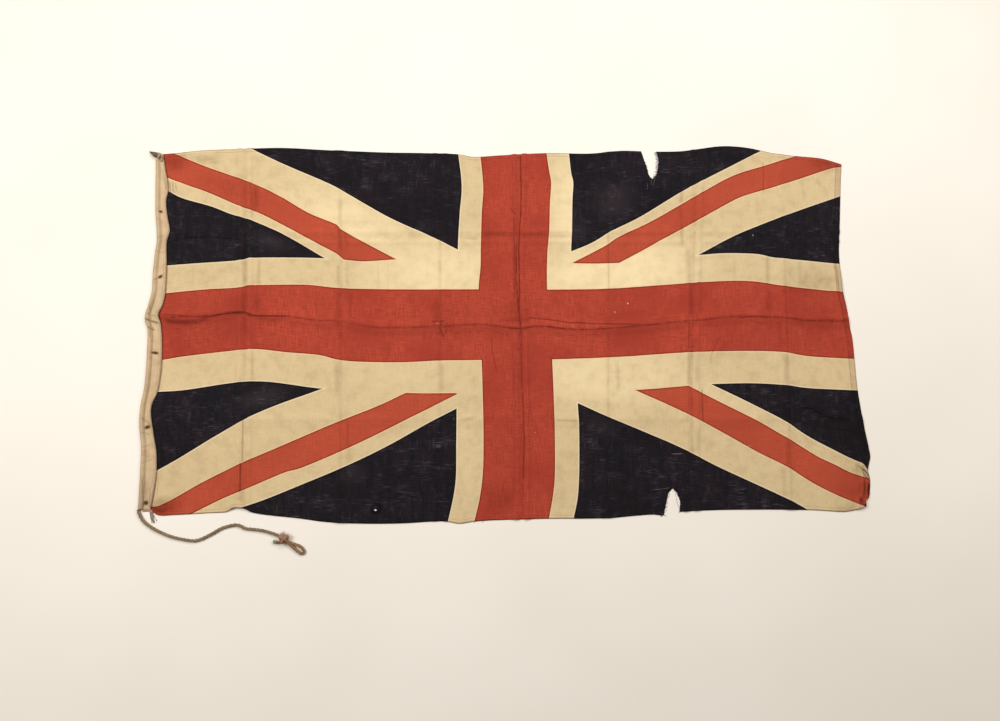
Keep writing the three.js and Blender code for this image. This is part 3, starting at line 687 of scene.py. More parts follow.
def closed_sheet(name, top, bottom, across, along):
    """A closed thin sheet from a grid of top points and a grid of bottom points."""
    count = across * along
    faces = grid_faces(across, along) + grid_faces(across, along, count, flip=True)
    rim = [(i, 0) for i in range(across)] + [(across - 1, j) for j in range(1, along)]
    rim += [(i, along - 1) for i in range(across - 2, -1, -1)] + [(0, j) for j in range(along - 2, 0, -1)]
    ids = [i * along + j for i, j in rim]
    for a, b in zip(ids, ids[1:] + ids[:1]):
        faces.append((b, a, a + count, b + count))
    return add_mesh(name, np.concatenate([top, bottom]), faces)


def ring_faces(rings, sides, flip=False):
    """Faces between rings of points, with a flat cap on the first ring and on the last."""
    faces = []
    for ring in range(rings - 1):
        for j in range(sides):
            a, b = ring * sides + j, ring * sides + (j + 1) % sides
            faces.append((a, a + sides, b + sides, b) if flip else (a, b, b + sides, a + sides))
    caps = [tuple(range(sides))[::-1], tuple(range((rings - 1) * sides, rings * sides))]
    return faces + [cap[::-1] if flip else cap for cap in caps]


def around(angles, side, up):
    """Directions round a line, from two directions square to it."""
    return np.cos(angles)[..., None] * side + np.sin(angles)[..., None] * up


def square_directions(line, steep=0.9):
    """Two directions square to a line at each of its points, which turn no more than it does."""
    tangent = np.gradient(line, axis=0)
    tangent /= np.maximum(np.linalg.norm(tangent, axis=1, keepdims=True), TINY)
    normal = np.cross(tangent[0], (0, 0, 1) if abs(tangent[0][2]) < steep else (1, 0, 0))
    normals = []
    for t in tangent:
        normal = normal - t * np.dot(normal, t)
        normal = normal / max(np.linalg.norm(normal), TINY)
        normals.append(normal)
    normals = np.array(normals)
    return normals, np.cross(tangent, normals)


def axis_directions(start, end):
    """The direction from one point to another, and two directions square to it."""
    axis = (end - start) / np.linalg.norm(end - start)
    side = np.cross(axis, (0, 0, 1))
    side /= np.linalg.norm(side)
    return axis, side, np.cross(side, axis)


def tube(points, radius, sides=3):
    """Points and faces of one thin tube along a line. Its radius may be a list."""
    p = np.asarray(points, float)
    normals, binormals = square_directions(p)
    radii = np.broadcast_to(np.asarray(radius, float), (len(p),))[:, None, None]
    angles = np.linspace(0, 2 * math.pi, sides, endpoint=False)
    rings = p[:, None] + radii * around(angles, normals[:, None], binormals[:, None])
    return rings.reshape(-1, 3), ring_faces(len(p), sides)


def lathe(profile, sides, start, end):
    """A turned shape whose axis runs between two points. The profile is (radius, along)."""
    axis, side, up = axis_directions(start, end)
    angles = np.linspace(0, 2 * math.pi, sides, endpoint=False)
    rings = [start + axis * along + radius * around(angles, side, up) for radius, along in profile]
    return np.concatenate(rings), ring_faces(len(profile), sides)


def joined(name, parts, material):
    """One piece made of many parts, each given as its points and faces."""
    points, faces, offset = [], [], 0
    for part_points, part_faces in parts:
        points.append(part_points)
        faces += [tuple(i + offset for i in face) for face in part_faces]
        offset += len(part_points)
    return add_mesh(name, np.concatenate(points), faces, material)


def rope_strands(line, diameter, pitch=ROPE_PITCH, sides=7):
    """Three strands twisted round a line, each a little uneven in thickness."""
    strand_radius = STRAND_SHARE * diameter
    along = lengths_along(line)
    normals, binormals = square_directions(line, steep=1)
    parts = []
    for strand in range(3):
        angle = 2 * math.pi * (along / pitch + strand / 3)
        centre = line + STRAND_OFFSET * strand_radius * around(angle, normals, binormals)
        radius = strand_radius * (1.04 + 0.05 * np.sin(along / 6.1 + strand * 2.1))
        parts.append(tube(centre, radius, sides))
    return parts


# Node materials

class Shader:
    """A small helper that adds nodes to one material and links them."""

    def __init__(self, name):
        self.material = bpy.data.materials.new(name)
        self.material.use_nodes = True
        self.tree = self.material.node_tree
        self.tree.nodes.clear()
        output = self.tree.nodes.new("ShaderNodeOutputMaterial")
        self.surface = self.tree.nodes.new("ShaderNodeBsdfPrincipled")
        self.tree.links.new(self.surface.outputs[0], output.inputs[0])

    def put(self, socket, value):
        if isinstance(value, bpy.types.NodeSocket):
            self.tree.links.new(value, socket)
        else:
            socket.default_value = value

    def node(self, kind, result=0, inputs=None, **settings):
        node = self.tree.nodes.new(kind)
        for key, value in settings.items():
            setattr(node, key, value)
        for key, value in (inputs or {}).items():
            self.put(node.inputs[key], value)
        return node.outputs[result]

    def attribute(self, name, result="Fac"):
        return self.node("ShaderNodeAttribute", result, attribute_name=name)

    def object_place(self):
        return self.node("ShaderNodeTexCoord", "Object")

    def math(self, operation, a, b=0.0):
        return self.node("ShaderNodeMath", 0, {0: a, 1: b}, operation=operation)

    def times(self, a, b):
        return self.math("MULTIPLY", a, b)

    def plus(self, a, b):
        return self.math("ADD", a, b)

    def minus(self, a, b):
        return self.math("SUBTRACT", a, b)

    def most(self, a, b):
        return self.math("MAXIMUM", a, b)

    def least(self, a, b):
        return self.math("MINIMUM", a, b)

    def off(self, a, b):
        """How far one value is from another."""
        return self.math("ABSOLUTE", self.minus(a, b))

    def axis(self, vector, number):
        return self.node("ShaderNodeSeparateXYZ", number, {0: vector})

    def distance(self, a, b):
        return self.node("ShaderNodeVectorMath", 1, {0: a, 1: b}, operation="DISTANCE")

    def step(self, value, low, high, start=0.0, end=1.0):
        return self.node(
            "ShaderNodeMapRange", 0, {0: value, 1: low, 2: high, 3: start, 4: end},
            interpolation_type="SMOOTHSTEP",
        )

    def mix(self, share, a, b, blend="MIX"):
        node = self.tree.nodes.new("ShaderNodeMix")
        node.data_type = "RGBA"
        node.blend_type = blend
        for number, value in ((0, share), (6, a), (7, b)):
            self.put(node.inputs[number], value)
        return node.outputs[2]

    def noise(self, vector, scale=1.0, detail=2.0, roughness=0.5, distortion=0.0):
        return self.node(
            "ShaderNodeTexNoise", 0,
            {"Vector": vector, "Scale": scale, "Detail": detail, "Roughness": roughness,
             "Distortion": distortion},
        )

    def stretched_noise(self, vector, scales, detail, roughness, distortion=0.0):
        """Noise with a scale of its own for each axis."""
        scaled = self.node("ShaderNodeVectorMath", 0, {0: vector, 1: scales}, operation="MULTIPLY")
        return self.noise(scaled, 1, detail, roughness, distortion)

    def tinted(self, colour, layers):
        """Lays tints over a colour: what brings each out, from low to high, its share and tint."""
        for value, low, high, share, tint in layers:
            colour = self.mix(self.times(self.step(value, low, high), share), colour, rgb(*tint))
        return colour

    def finished(self, colour, roughness, specular=0.5, relief=None):
        """The finished material. Its relief is a height, a distance and a strength."""
        self.put(self.surface.inputs["Base Color"], colour)
        if relief:
            inputs = dict(zip(("Height", "Distance", "Strength"), relief))
            self.put(self.surface.inputs["Normal"], self.node("ShaderNodeBump", 0, inputs))
        self.surface.inputs["Roughness"].default_value = roughness
        self.surface.inputs["Specular IOR Level"].default_value = specular
        return self.material


def rgb(red, green, blue):
    """A colour as it shows, 0 to 255, as the linear colour that a shader takes."""
    linear = []
    for value in (red, green, blue):
        value /= 255
        linear.append(value / 12.92 if value <= 0.04045 else ((value + 0.055) / 1.055) ** 2.4)
    return (*linear, 1)


def inside(s, *names):
    """The smaller of two attributes: how far inside both their edges a point is."""
    return s.least(*(s.attribute(name) for name in names))


def pattern_masks(s, ragged):
    """How far inside the cross, inside all red, and inside the red and cream, in metres."""
    red_cross = s.most(inside(s, "red_left", "red_right"), inside(s, "red_low", "red_high"))
    cross = s.most(inside(s, "white_left", "white_right"), inside(s, "white_low", "white_high"))
    stripe = inside(s, "stripe_red_low", "stripe_red_high")
    stripe = s.least(stripe, s.times(cross, -1))
    stripe_field = inside(s, "stripe_white_low", "stripe_white_high")
    red = s.plus(s.most(red_cross, stripe), ragged)
    pale = s.plus(s.most(cross, stripe_field), ragged)
    return red_cross, red, pale


def mark_masks(s, place):
    """Dark and pale marks on the cloth, each 0 to 1. The dark ones are painted crease shade with dirt."""
    dark, pale = 0.0, 0.0
    for number in range(MARK_LAYERS):
        mark = s.attribute(f"mark_{number}", "Vector")
        away, half_width, strength = (s.axis(mark, axis) for axis in range(3))
        share = s.math("DIVIDE", s.math("ABSOLUTE", away), s.most(half_width, 0.0001))
        mask = s.times(s.step(share, 0, 1.4, 1, 0), strength)
        dark = s.most(dark, mask)
        pale = s.least(pale, mask)
    pale = s.times(pale, -1)
    for (x, y), radius, strength in SPECKS:
        away = s.distance(place, (x * MM, y * MM, 0.002))
        pale = s.most(pale, s.step(away, 0.3 * radius * MM, 1.2 * radius * MM, strength, 0))
    # A ring of painted shade round the larger hole.
    x, y, radius = HOLE_SHADE_RING
    off = s.off(s.distance(place, (x * MM, y * MM, 0.002)), radius * MM)
    return s.most(dark, s.step(off, 0.0015, 0.0045, 1, 0)), pale


def fold_shade_masks(s, weave):
    """Painted shade along the folds, each 0 to 1: soft bands, and thin lines that carry dirt too."""
    broken = s.step(s.noise(weave, 75, 3, 0.65), 0.28, 0.62, 0.15, 1)
    cloudy = s.step(s.noise(weave, 22, 3, 0.6), 0.3, 0.65, 0.35, 1)
    wander = s.times(s.minus(s.noise(weave, 90, 2), 0.5), 0.004)
    bands, lines = [], []
    for axis, name in enumerate(("fold_x", "fold_y")):
        distance = s.attribute(name)
        band = s.axis(s.attribute("dirt", "Vector"), axis)
        thin = s.axis(s.attribute("fold_line_shade_and_dirt", "Vector"), axis)
        bands.append(s.times(s.step(distance, 0.001, 0.0095, 1, 0), band))
        near = s.plus(distance, wander)
        lines.append(s.times(s.step(near, 0.0008, 0.0034, 1, 0), thin))
    return s.times(s.most(*bands), cloudy), s.times(s.most(*lines), broken)


def yarn_noises(s, weave):
    """Uneven yarns: long thin slubs both ways, a short fine grain, streaks and cloudy fading."""
    yarn = SimpleNamespace()
    yarn.across = s.stretched_noise(weave, (36, 400, 1), 4, 0.65)
    yarn.up = s.stretched_noise(weave, (400, 30, 1), 4, 0.65)
    yarn.slub = s.most(yarn.across, yarn.up)
    yarn.mean = s.times(s.plus(yarn.across, yarn.up), 0.5)
    yarn.grain = s.stretched_noise(weave, (190, 330, 1), 3, 0.7)
    yarn.cloudy = s.noise(weave, 7, 4, 0.55)
    yarn.blotch = s.noise(weave, 30, 4, 0.6)
    yarn.streak = s.stretched_noise(weave, (75, 9, 1), 3, 0.6)
    return yarn


def navy_cloth(s, weave, yarn):
    navy = s.mix(s.step(yarn.streak, 0.4, 0.65), rgb(19, 17, 22), rgb(32, 22, 26))
    patch = s.step(s.stretched_noise(weave, (24, 34, 1), 3, 0.6), 0.46, 0.7, 0.1, 1)
    patch_up = s.step(s.stretched_noise(weave, (60, 20, 1), 3, 0.6), 0.48, 0.7, 0.1, 0.8)
    navy = s.tinted(navy, (
        (yarn.up, 0.45, 0.72, patch_up, (70, 63, 71)), (yarn.across, 0.45, 0.72, patch, (86, 79, 88)),
        (yarn.grain, 0.5, 0.85, 0.8, (50, 45, 51)), (yarn.cloudy, 0.35, 0.7, 0.75, (22, 18, 21)),
    ))
    return s.mix(s.times(s.attribute("faded"), 0.26), navy, rgb(78, 66, 70))


def red_cloth(s, yarn, cross_depth):
    red = s.mix(s.step(yarn.mean, 0.33, 0.66), rgb(154, 50, 36), rgb(194, 79, 58))
    red = s.tinted(red, (
        (yarn.grain, 0.45, 0.8, 0.45, (188, 82, 60)), (yarn.streak, 0.45, 0.7, 0.35, (150, 62, 40)),
        (yarn.cloudy, 0.38, 0.72, 0.8, (158, 56, 41)),
    ))
    return s.mix(s.step(cross_depth, -0.001, 0, 0.3, 0), red, rgb(204, 98, 64))


def cream_cloth(s, yarn):
    cream = s.mix(s.step(yarn.mean, 0.3, 0.7), rgb(209, 184, 139), rgb(223, 198, 153))
    cream = s.tinted(cream, [(yarn.blotch, 0.42, 0.75, 0.9, (201, 177, 133))])
    paler_patch = s.times(s.attribute("paler_patch"), s.step(yarn.blotch, 0.2, 0.8, 1, 0.6))
    return s.mix(s.times(paler_patch, 0.8), cream, rgb(252, 229, 180))


def printed_cloth(s, weave):
    """The dyes. Dyed parts have darker edges; the cream beside the red is stained, and the cream beside
    the navy has a painted pale highlight.
    """
    ragged = s.times(s.minus(s.noise(weave, 420, 2), 0.5), 0.0011)
    cross_depth, red_depth, pale_depth = pattern_masks(s, ragged)
    yarn = yarn_noises(s, weave)
    navy = navy_cloth(s, weave, yarn)
    red = red_cloth(s, yarn, cross_depth)
    cream = cream_cloth(s, yarn)
    uneven = s.step(yarn.blotch, 0.3, 0.65, 0.55, 1)
    navy_edge = s.step(pale_depth, -0.0045, -0.001, 0, 1)
    navy = s.mix(s.times(navy_edge, 0.85), navy, rgb(9, 7, 9))
    red_edge = s.times(s.step(red_depth, 0.0014, 0.0042, 0.85, 0), uneven)
    red = s.mix(red_edge, red, rgb(112, 34, 22))
    bleed = s.times(s.step(red_depth, -0.0044, -0.001, 0, 0.7), uneven)
    cream = s.mix(bleed, cream, rgb(244, 196, 154))
    # A painted highlight: a pale line on the cream along the navy's edge.
    edge_highlight = s.times(s.step(pale_depth, 0.001, 0.0044, 0.45, 0), uneven)
    cream = s.mix(edge_highlight, cream, rgb(252, 234, 204))
    colour = s.mix(s.step(pale_depth, -DYE_BLUR, DYE_BLUR), navy, cream)
    return s.mix(s.step(red_depth, -DYE_BLUR, DYE_BLUR), colour, red), yarn


def shaded_and_dirtied(s, weave, place, yarn, colour):
    """The colour with painted shade and dirt in patches, folds and marks over it, and how dark those are.
    """
    # Darker patches: painted shade over the swells and folds, mixed with dirt.
    patch_shade_and_dirt = s.times(s.attribute("patch_shade_and_dirt"), s.step(yarn.blotch, 0.25, 0.7, 0.55, 1))
    colour = s.mix(patch_shade_and_dirt, colour, PATCH_SHADE_AND_DIRT_TINT, "MULTIPLY")
    # Painted shade along the folds: soft bands, and thin lines that carry dirt too.
    band, line = fold_shade_masks(s, weave)
    colour = s.mix(s.times(band, 0.4), colour, FOLD_SHADE_TINT, "MULTIPLY")
    # Dark marks, fold lines and the hole's ring: painted shade in the creases, under the curled corner and
    # round the hole, with dirt.
    dark, light = mark_masks(s, place)
    dark = s.times(dark, s.step(s.noise(place, 160, 3, 0.6), 0.25, 0.6, 0.65, 1))
    dark = s.most(dark, s.times(line, 0.95))
    colour = s.mix(s.times(dark, 0.78), colour, MARK_SHADE_AND_DIRT_TINT, "MULTIPLY")
    return s.mix(light, colour, rgb(240, 214, 196)), dark


def hemmed(s, weave, colour):
    """The colour with dark rolled rims, which carry painted shade of the hem's edge too, a row of stitches
    by each hem, and the fly's double layer.
    """
    to_hem, to_fly = s.attribute("to_hem"), s.attribute("to_fly")
    # The hem and fly rims are rolled edges, darkened with painted shade as well.
    rim = s.step(s.least(to_hem, to_fly), 0.0006, 0.0032, 0.62, 0)
    rim = s.most(rim, s.step(s.attribute("to_seam"), 0.001, 0.005, 0.85, 0))
    fly_row = s.step(s.off(to_fly, 0.0145), 0.0004, 0.0018, 0.55, 0)
    hem_row = s.step(s.off(to_hem, 0.0085), 0.0003, 0.0014, 0.28, 0)
    double = s.step(to_fly, 0.0135, 0.0155, 0.24, 0)
    hem = s.most(s.most(rim, double), s.most(fly_row, hem_row))
    hem = s.times(hem, s.step(s.noise(weave, 110, 3, 0.6), 0.2, 0.6, 0.5, 1))
    return s.mix(hem, colour, HEM_TINT, "MULTIPLY")


def bunting_material():
    s = Shader("bunting")
    weave = s.attribute("weave", "Vector")
    place = s.attribute("place", "Vector")
    colour, yarn = printed_cloth(s, weave)
    colour, dark = shaded_and_dirtied(s, weave, place, yarn, colour)
    colour = hemmed(s, weave, colour)
    threads = s.times(*(s.math("SINE", s.times(s.axis(weave, axis), THREAD_WAVES)) for axis in (0, 1)))
    height = s.plus(s.times(threads, 0.3), s.times(yarn.slub, 1.6))
    height = s.minus(height, s.times(dark, 1.5))
    return s.finished(colour, 0.93, 0.15, (height, 0.0005, 0.6))


def canvas_material():
    s = Shader("canvas")
    place = s.attribute("place", "Vector")
    weave_across = s.stretched_noise(place, (260, 1400, 1), 2, 0.5)
    weave_up = s.stretched_noise(place, (1400, 260, 1), 2, 0.5)
    blotch = s.noise(place, 40, 4, 0.6)
    cloudy = s.noise(place, 9, 3, 0.5)
    colour = s.mix(s.step(blotch, 0.35, 0.7), rgb(212, 184, 146), rgb(196, 164, 128))
    colour = s.mix(s.step(cloudy, 0.4, 0.7), colour, rgb(200, 178, 140))
    colour = s.mix(s.times(s.attribute("foot"), 0.75), colour, rgb(168, 146, 120))
    colour = s.tinted(colour, [(weave_across, 0.45, 0.75, 0.25, (150, 124, 90))])
    # Painted shade along the outer edge, painted shade and dirt in the groove and creases with the dark
    # seam line, and rust.
    for name, tint in (("shade", (150, 134, 108)), ("groove", (120, 94, 62)), ("rust", (84, 54, 24))):
        colour = s.mix(s.attribute(name), colour, rgb(*tint))
    return s.finished(colour, 0.92, 0.2, (s.plus(weave_across, weave_up), 0.0004, 0.7))


def rope_material(name, light, dark):
    s = Shader(name)
    place = s.object_place()
    fibre = s.noise(place, 900, 3, 0.6)
    blotch = s.noise(place, 70, 3, 0.6)
    colour = s.mix(s.step(fibre, 0.35, 0.68), rgb(*dark), rgb(*light))
    colour = s.tinted(colour, [(blotch, 0.4, 0.7, 0.5, dark)])
    return s.finished(colour, 0.9, 0.2, (fibre, 0.0006, 0.8))


def wood_material(name, light, dark, dirt):
    s = Shader(name)
    place = s.object_place()
    grain = s.stretched_noise(place, (300, 900, 900), 4, 0.6, 1.5)
    blotch = s.noise(place, 120, 3, 0.6)
    colour = s.mix(s.step(grain, 0.35, 0.65), rgb(*dark), rgb(*light))
    colour = s.tinted(colour, [(blotch, 0.4, 0.7, 0.6, dirt)])
    return s.finished(colour, 0.7, relief=(grain, 0.0005, 0.6))


def thread_material(name, light, dark):
    s = Shader(name)
    mottle = s.noise(s.object_place(), 500, 2)
    return s.finished(s.mix(s.step(mottle, 0.35, 0.65), rgb(*dark), rgb(*light)), 0.9, 0.15)


# Free rope, with its knot, its loop and its whipped tail

def make_rope():
    line = smooth_line(in_frame(ROPE_ROUTE, ROPE_DIAMETER / 2 + 0.05), 1.6)
    material = rope_material("rope_fibre", (180, 155, 124), (108, 89, 66))
    rope = joined("free_rope", rope_strands(line, ROPE_DIAMETER), material)
    return rope, line * MM, float(step_lengths(line).sum()) * MM


def ring_points(middle, radius, tilt, shift):
    """A ring of the rope in the knot, tilted like the solid's ring."""
    angles = np.linspace(0, 2 * math.pi, 40)
    ring = np.stack([radius * np.cos(angles), radius * np.sin(angles), 0 * angles], axis=1)
    cx, cy, cz = (math.cos(a) for a in tilt)
    sx, sy, sz = (math.sin(a) for a in tilt)
    about_x = np.array([[1, 0, 0], [0, cx, -sx], [0, sx, cx]])
    about_y = np.array([[cy, 0, sy], [0, 1, 0], [-sy, 0, cy]])
    about_z = np.array([[cz, -sz, 0], [sz, cz, 0], [0, 0, 1]])
    ring = ring @ (about_x @ about_y @ about_z).T * np.array(KNOT_STRETCH)
    return ring + middle + np.array(shift)


def make_knot():
    parts = []
    for tilt, shift in KNOT_TURNS:
        ring = ring_points(in_frame([KNOT_MIDDLE])[0], KNOT_TURN_RADIUS, tilt, shift)
        parts += rope_strands(ring, TAIL_SHARE * ROPE_DIAMETER, pitch=20)
    knot = joined("knot", parts, rope_material("knot_fibre", (202, 160, 132), (134, 97, 75)))
    parts = rope_strands(smooth_line(in_frame(LOOP_ROUTE), 1.4), LOOP_SHARE * ROPE_DIAMETER)
    parts += rope_strands(smooth_line(in_frame(TAIL_ROUTE), 1.4), TAIL_SHARE * ROPE_DIAMETER)
    material = rope_material("loop_fibre", (180, 150, 108), (114, 84, 56))
    return knot, joined("loop_and_tail", parts, material)


def make_whipping():
    """Thin twine wound round the last of the tail."""
    before, end = in_frame(TAIL_ROUTE)[-2:]
    axis, side, up = axis_directions(end, before)
    turns, start, length, radius = 9, 0.6, 7.0, 4.0
    angles = np.linspace(0, 2 * math.pi * turns, turns * 16)
    along = start + length * angles / angles[-1]
    line = end + axis * along[:, None] + radius * around(angles, side, up)
    material = thread_material("whipping_twine", (184, 188, 150), (96, 106, 70))
    return joined("tail_whipping", [tube(line, 0.42, 5)], material)


def make_knot_fray():
    """Frayed strand ends that stick up out of the knot, and broken fibres round it."""
    middle = in_frame([KNOT_MIDDLE])[0]
    steps = np.linspace(0, 1, 5)[:, None]
    parts = []
    for turn, long in KNOT_TUFTS:
        for _ in range(TUFT_FIBRES):
            angle = math.radians(turn) + rng.normal() * 0.16
            away = np.array([math.cos(angle), math.sin(angle), 0.25 + rng.normal() * 0.12])
            start = middle + 7.5 * away + rng.normal(size=3) * 1.1
            line = start + away * rng.uniform(0.6, 1.0) * long * steps
            line = line + rng.normal(size=3) * 1.2 * steps**2
            parts.append(tube(line, np.linspace(0.34, 0.1, 5)))
    for _ in range(KNOT_FIBRES):
        away = rng.normal(size=3)
        away[2] = abs(away[2]) * 0.6
        away /= np.linalg.norm(away)
        bend = rng.normal(size=3) * 2.5
        line = middle + away * 9 + away * rng.uniform(3, 6) * steps + bend * steps**2
        line[:, 2] = np.maximum(line[:, 2], 0.3)
        parts.append(tube(line, np.linspace(0.16, 0.06, 5)))
    return joined("knot_fray", parts, thread_material("knot_thread", (210, 168, 142), (150, 108, 86)))


free_rope, rope_path, rope_length = make_rope()
knot, loop = make_knot()
whipping = make_whipping()
knot_fray = make_knot_fray()
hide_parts("cord")
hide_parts("cord_knot")
for piece in (free_rope, knot, loop, whipping, knot_fray):
    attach(piece, "root")


# Cloth

def panel_lines(panels):
    """Places across all the panels, closer together beside the folds."""
    near = np.linspace(0, 0.1, NEAR_STEPS, endpoint=False)
    wide = np.linspace(0.1, 0.9, WIDE_STEPS, endpoint=False)
    last = np.linspace(0.9, 1, NEAR_STEPS, endpoint=False)
    shares = np.concatenate([near, wide, last])
    return np.concatenate([panel + shares for panel in range(panels)] + [[panels]])


def ragged_rim(outline, ragged):
    """A tear's outline in small steps, its corners kept and the places between them uneven."""
    p = np.array(outline, float) - GUIDE_START
    turned = np.sum(p[:, 0] * np.roll(p[:, 1], -1) - p[:, 1] * np.roll(p[:, 0], -1))
    if turned > 0:
        p = p[::-1]
    rim = []
    for a, b in zip(p, np.roll(p, -1, axis=0)):
        long = np.linalg.norm(b - a)
        count = max(1, int(long / RIM_STEP))
        square_to = np.array([b[1] - a[1], a[0] - b[0]]) / long
        for k in range(count):
            wander = rng.uniform(-RIM_WANDER, RIM_WANDER) * ragged * (0 if k == 0 else 1)
            rim.append(a + (b - a) * k / count + wander * square_to)
    return np.array(rim)


def tear_cutter(name, outline, ragged):
    """A tall prism with the tear's outline, its rims made uneven."""
    rim = ragged_rim(outline, ragged)
    count = len(rim)
    rings = [np.column_stack([rim, np.full(count, height)]) for height in CUTTER_HEIGHTS]
    faces = [tuple(range(count)), tuple(range(count, 2 * count))[::-1]]
    for i in range(count):
        k = (i + 1) % count
        faces.append((k, i, i + count, k + count))
    return add_mesh(name, np.concatenate(rings), faces, smooth=False)


def cut(piece, cutters):
    for cutter in cutters:
        modifier = piece.modifiers.new("cut", "BOOLEAN")
        modifier.operation = "DIFFERENCE"
        modifier.solver = "EXACT"
        modifier.object = cutter
    evaluated = piece.evaluated_get(bpy.context.evaluated_depsgraph_get())
    piece.data = bpy.data.meshes.new_from_object(evaluated)
    piece.modifiers.clear()
    for cutter in cutters:
        bpy.data.objects.remove(cutter)
    piece.data.shade_smooth()


def panel_value(here, lines):
    """Where a value lies among rising lines: 0 on the first, 1 on the second and so on."""
    result = np.zeros_like(here)
    for i, (low, high) in enumerate(zip(lines, lines[1:])):
        share = (here - low) / np.maximum(high - low, 1e-6)
        result = share if i == 0 else np.where(here > low, i + share, result)
    return result


def past(line, here, along):
    """How far past a guide a place is, square to it, in millimetres."""
    at = guide(line, run_on=True)
    slope = (at(along + 1) - at(along - 1)) / 2
    return (here - at(along)) / np.hypot(1, slope)


def paint_pattern(mesh, x, y):
    """Writes how far each point is inside the pattern's edges, in metres."""
    upright = [past(line, x, y) for line in (WHITE_LEFT, RED_LEFT, RED_RIGHT, WHITE_RIGHT)]
    level = [past(line, y, x) for line in (WHITE_BOTTOM, RED_BOTTOM, RED_TOP, WHITE_TOP)]
    on_left = upright[1] + upright[2] < 0
    on_top = level[1] + level[2] > 0
    diagonal = []
    for edges in zip(TOP_LEFT, TOP_RIGHT, BOTTOM_LEFT, BOTTOM_RIGHT):
        top_left, top_right, bottom_left, bottom_right = (past(edge, y, x) for edge in edges)
        top = np.where(on_left, top_left, top_right)
        diagonal.append(np.where(on_top, top, np.where(on_left, bottom_left, bottom_right)))
    for name, value in (
        ("white_left", upright[0]), ("red_left", upright[1]),
        ("red_right", -upright[2]), ("white_right", -upright[3]),
        ("white_low", level[0]), ("red_low", level[1]),
        ("red_high", -level[2]), ("white_high", -level[3]),
        ("stripe_white_high", -diagonal[0]), ("stripe_red_high", -diagonal[1]),
        ("stripe_red_low", diagonal[2]), ("stripe_white_low", diagonal[3]),
    ):
        set_attribute(mesh, name, value * MM)


def nearest_fold(here, along, guides, dirt):
    """Distance in metres to the nearest fold, and how dark its painted shade band and its line of painted
    shade and dirt are there.
    """
    distance = np.full_like(here, FAR)
    band, thin = np.zeros_like(here), np.zeros_like(here)
    for line, places in zip(guides[1:-1], dirt[1:-1]):
        away = np.abs(here - line(along))
        closer = away < distance
        at, bands, lines = np.array(places, float).T
        distance = np.where(closer, away, distance)
        band = np.where(closer, np.interp(along, at, bands), band)
        thin = np.where(closer, np.interp(along, at, lines), thin)
    return distance * MM, band, thin


def polyline_distance(places, x, y):
    """Distance to a line of places, its side as a sign, and how far past an end it is."""
    best = np.full_like(x, FAR)
    signed, beyond = np.full_like(x, FAR), np.zeros_like(x)
    for number, (start, end) in enumerate(zip(places, places[1:])):
        run = np.array(end, float) - start
        long = np.hypot(*run)
        share = ((x - start[0]) * run[0] + (y - start[1]) * run[1]) / long ** 2
        foot = np.clip(share, 0, 1)
        dx, dy = x - start[0] - foot * run[0], y - start[1] - foot * run[1]
        away = np.hypot(dx, dy)
        side = np.where(run[0] * dy - run[1] * dx < 0, -1.0, 1.0)
        before = -share * long if number == 0 else np.full_like(x, -FAR)
        after = (share - 1) * long if number == len(places) - 2 else np.full_like(x, -FAR)
        closer = away < best
        best = np.where(closer, away, best)
        signed = np.where(closer, side * away, signed)
        beyond = np.where(closer, np.maximum(before, after), beyond)
    return best, signed, beyond


def far_apart(one, other):
    """Whether two marks lie so far apart that no cell of the cloth meets both."""
    room = 2.2 * MARK_REACH
    a, b = np.array(one[0], float), np.array(other[0], float)
    return bool(np.any(a.min(0) - room > b.max(0)) or np.any(b.min(0) - room > a.max(0)))


def mark_layers():
    """The marks, dealt out so that in each layer they all lie far apart."""
    layers = [[] for _ in range(MARK_LAYERS)]
    for mark in MARKS:
        free = [layer for layer in layers if all(far_apart(mark, other) for other in layer)]
        free[0].append(mark)
    return layers


def mark_values(mark, x, y):
    """Each point's distance from a mark, then its side distance, half width and strength there."""
    places, half_width, strength = mark
    away, signed, beyond = polyline_distance(places, x, y)
    long = step_lengths(np.array(places, float)).sum()
    fade = 15 if half_width > SOFT_HALF_WIDTH and long > SOFT_LENGTH else 2
    near = np.where(away < MARK_REACH, np.clip((2 - beyond) / fade, 0, 1), 0)
    side = np.where(away < 1.8 * MARK_REACH, signed, away)
    return away, np.stack([side * MM, np.full_like(x, half_width * MM), near * strength], axis=1)


def paint_marks(mesh, x, y):
    """Writes side distance, half width and strength of the nearest mark, layer by layer."""
    for number, layer in enumerate(mark_layers()):
        nearest = np.full_like(x, FAR)
        values = np.zeros((len(x), 3))
        values[:, :2] = 20 * MM, MM
        for mark in layer:
            away, mark_here = mark_values(mark, x, y)
            closer = away < nearest
            nearest = np.where(closer, away, nearest)
            values = np.where(closer[:, None], mark_here, values)
        set_attribute(mesh, f"mark_{number}", values)


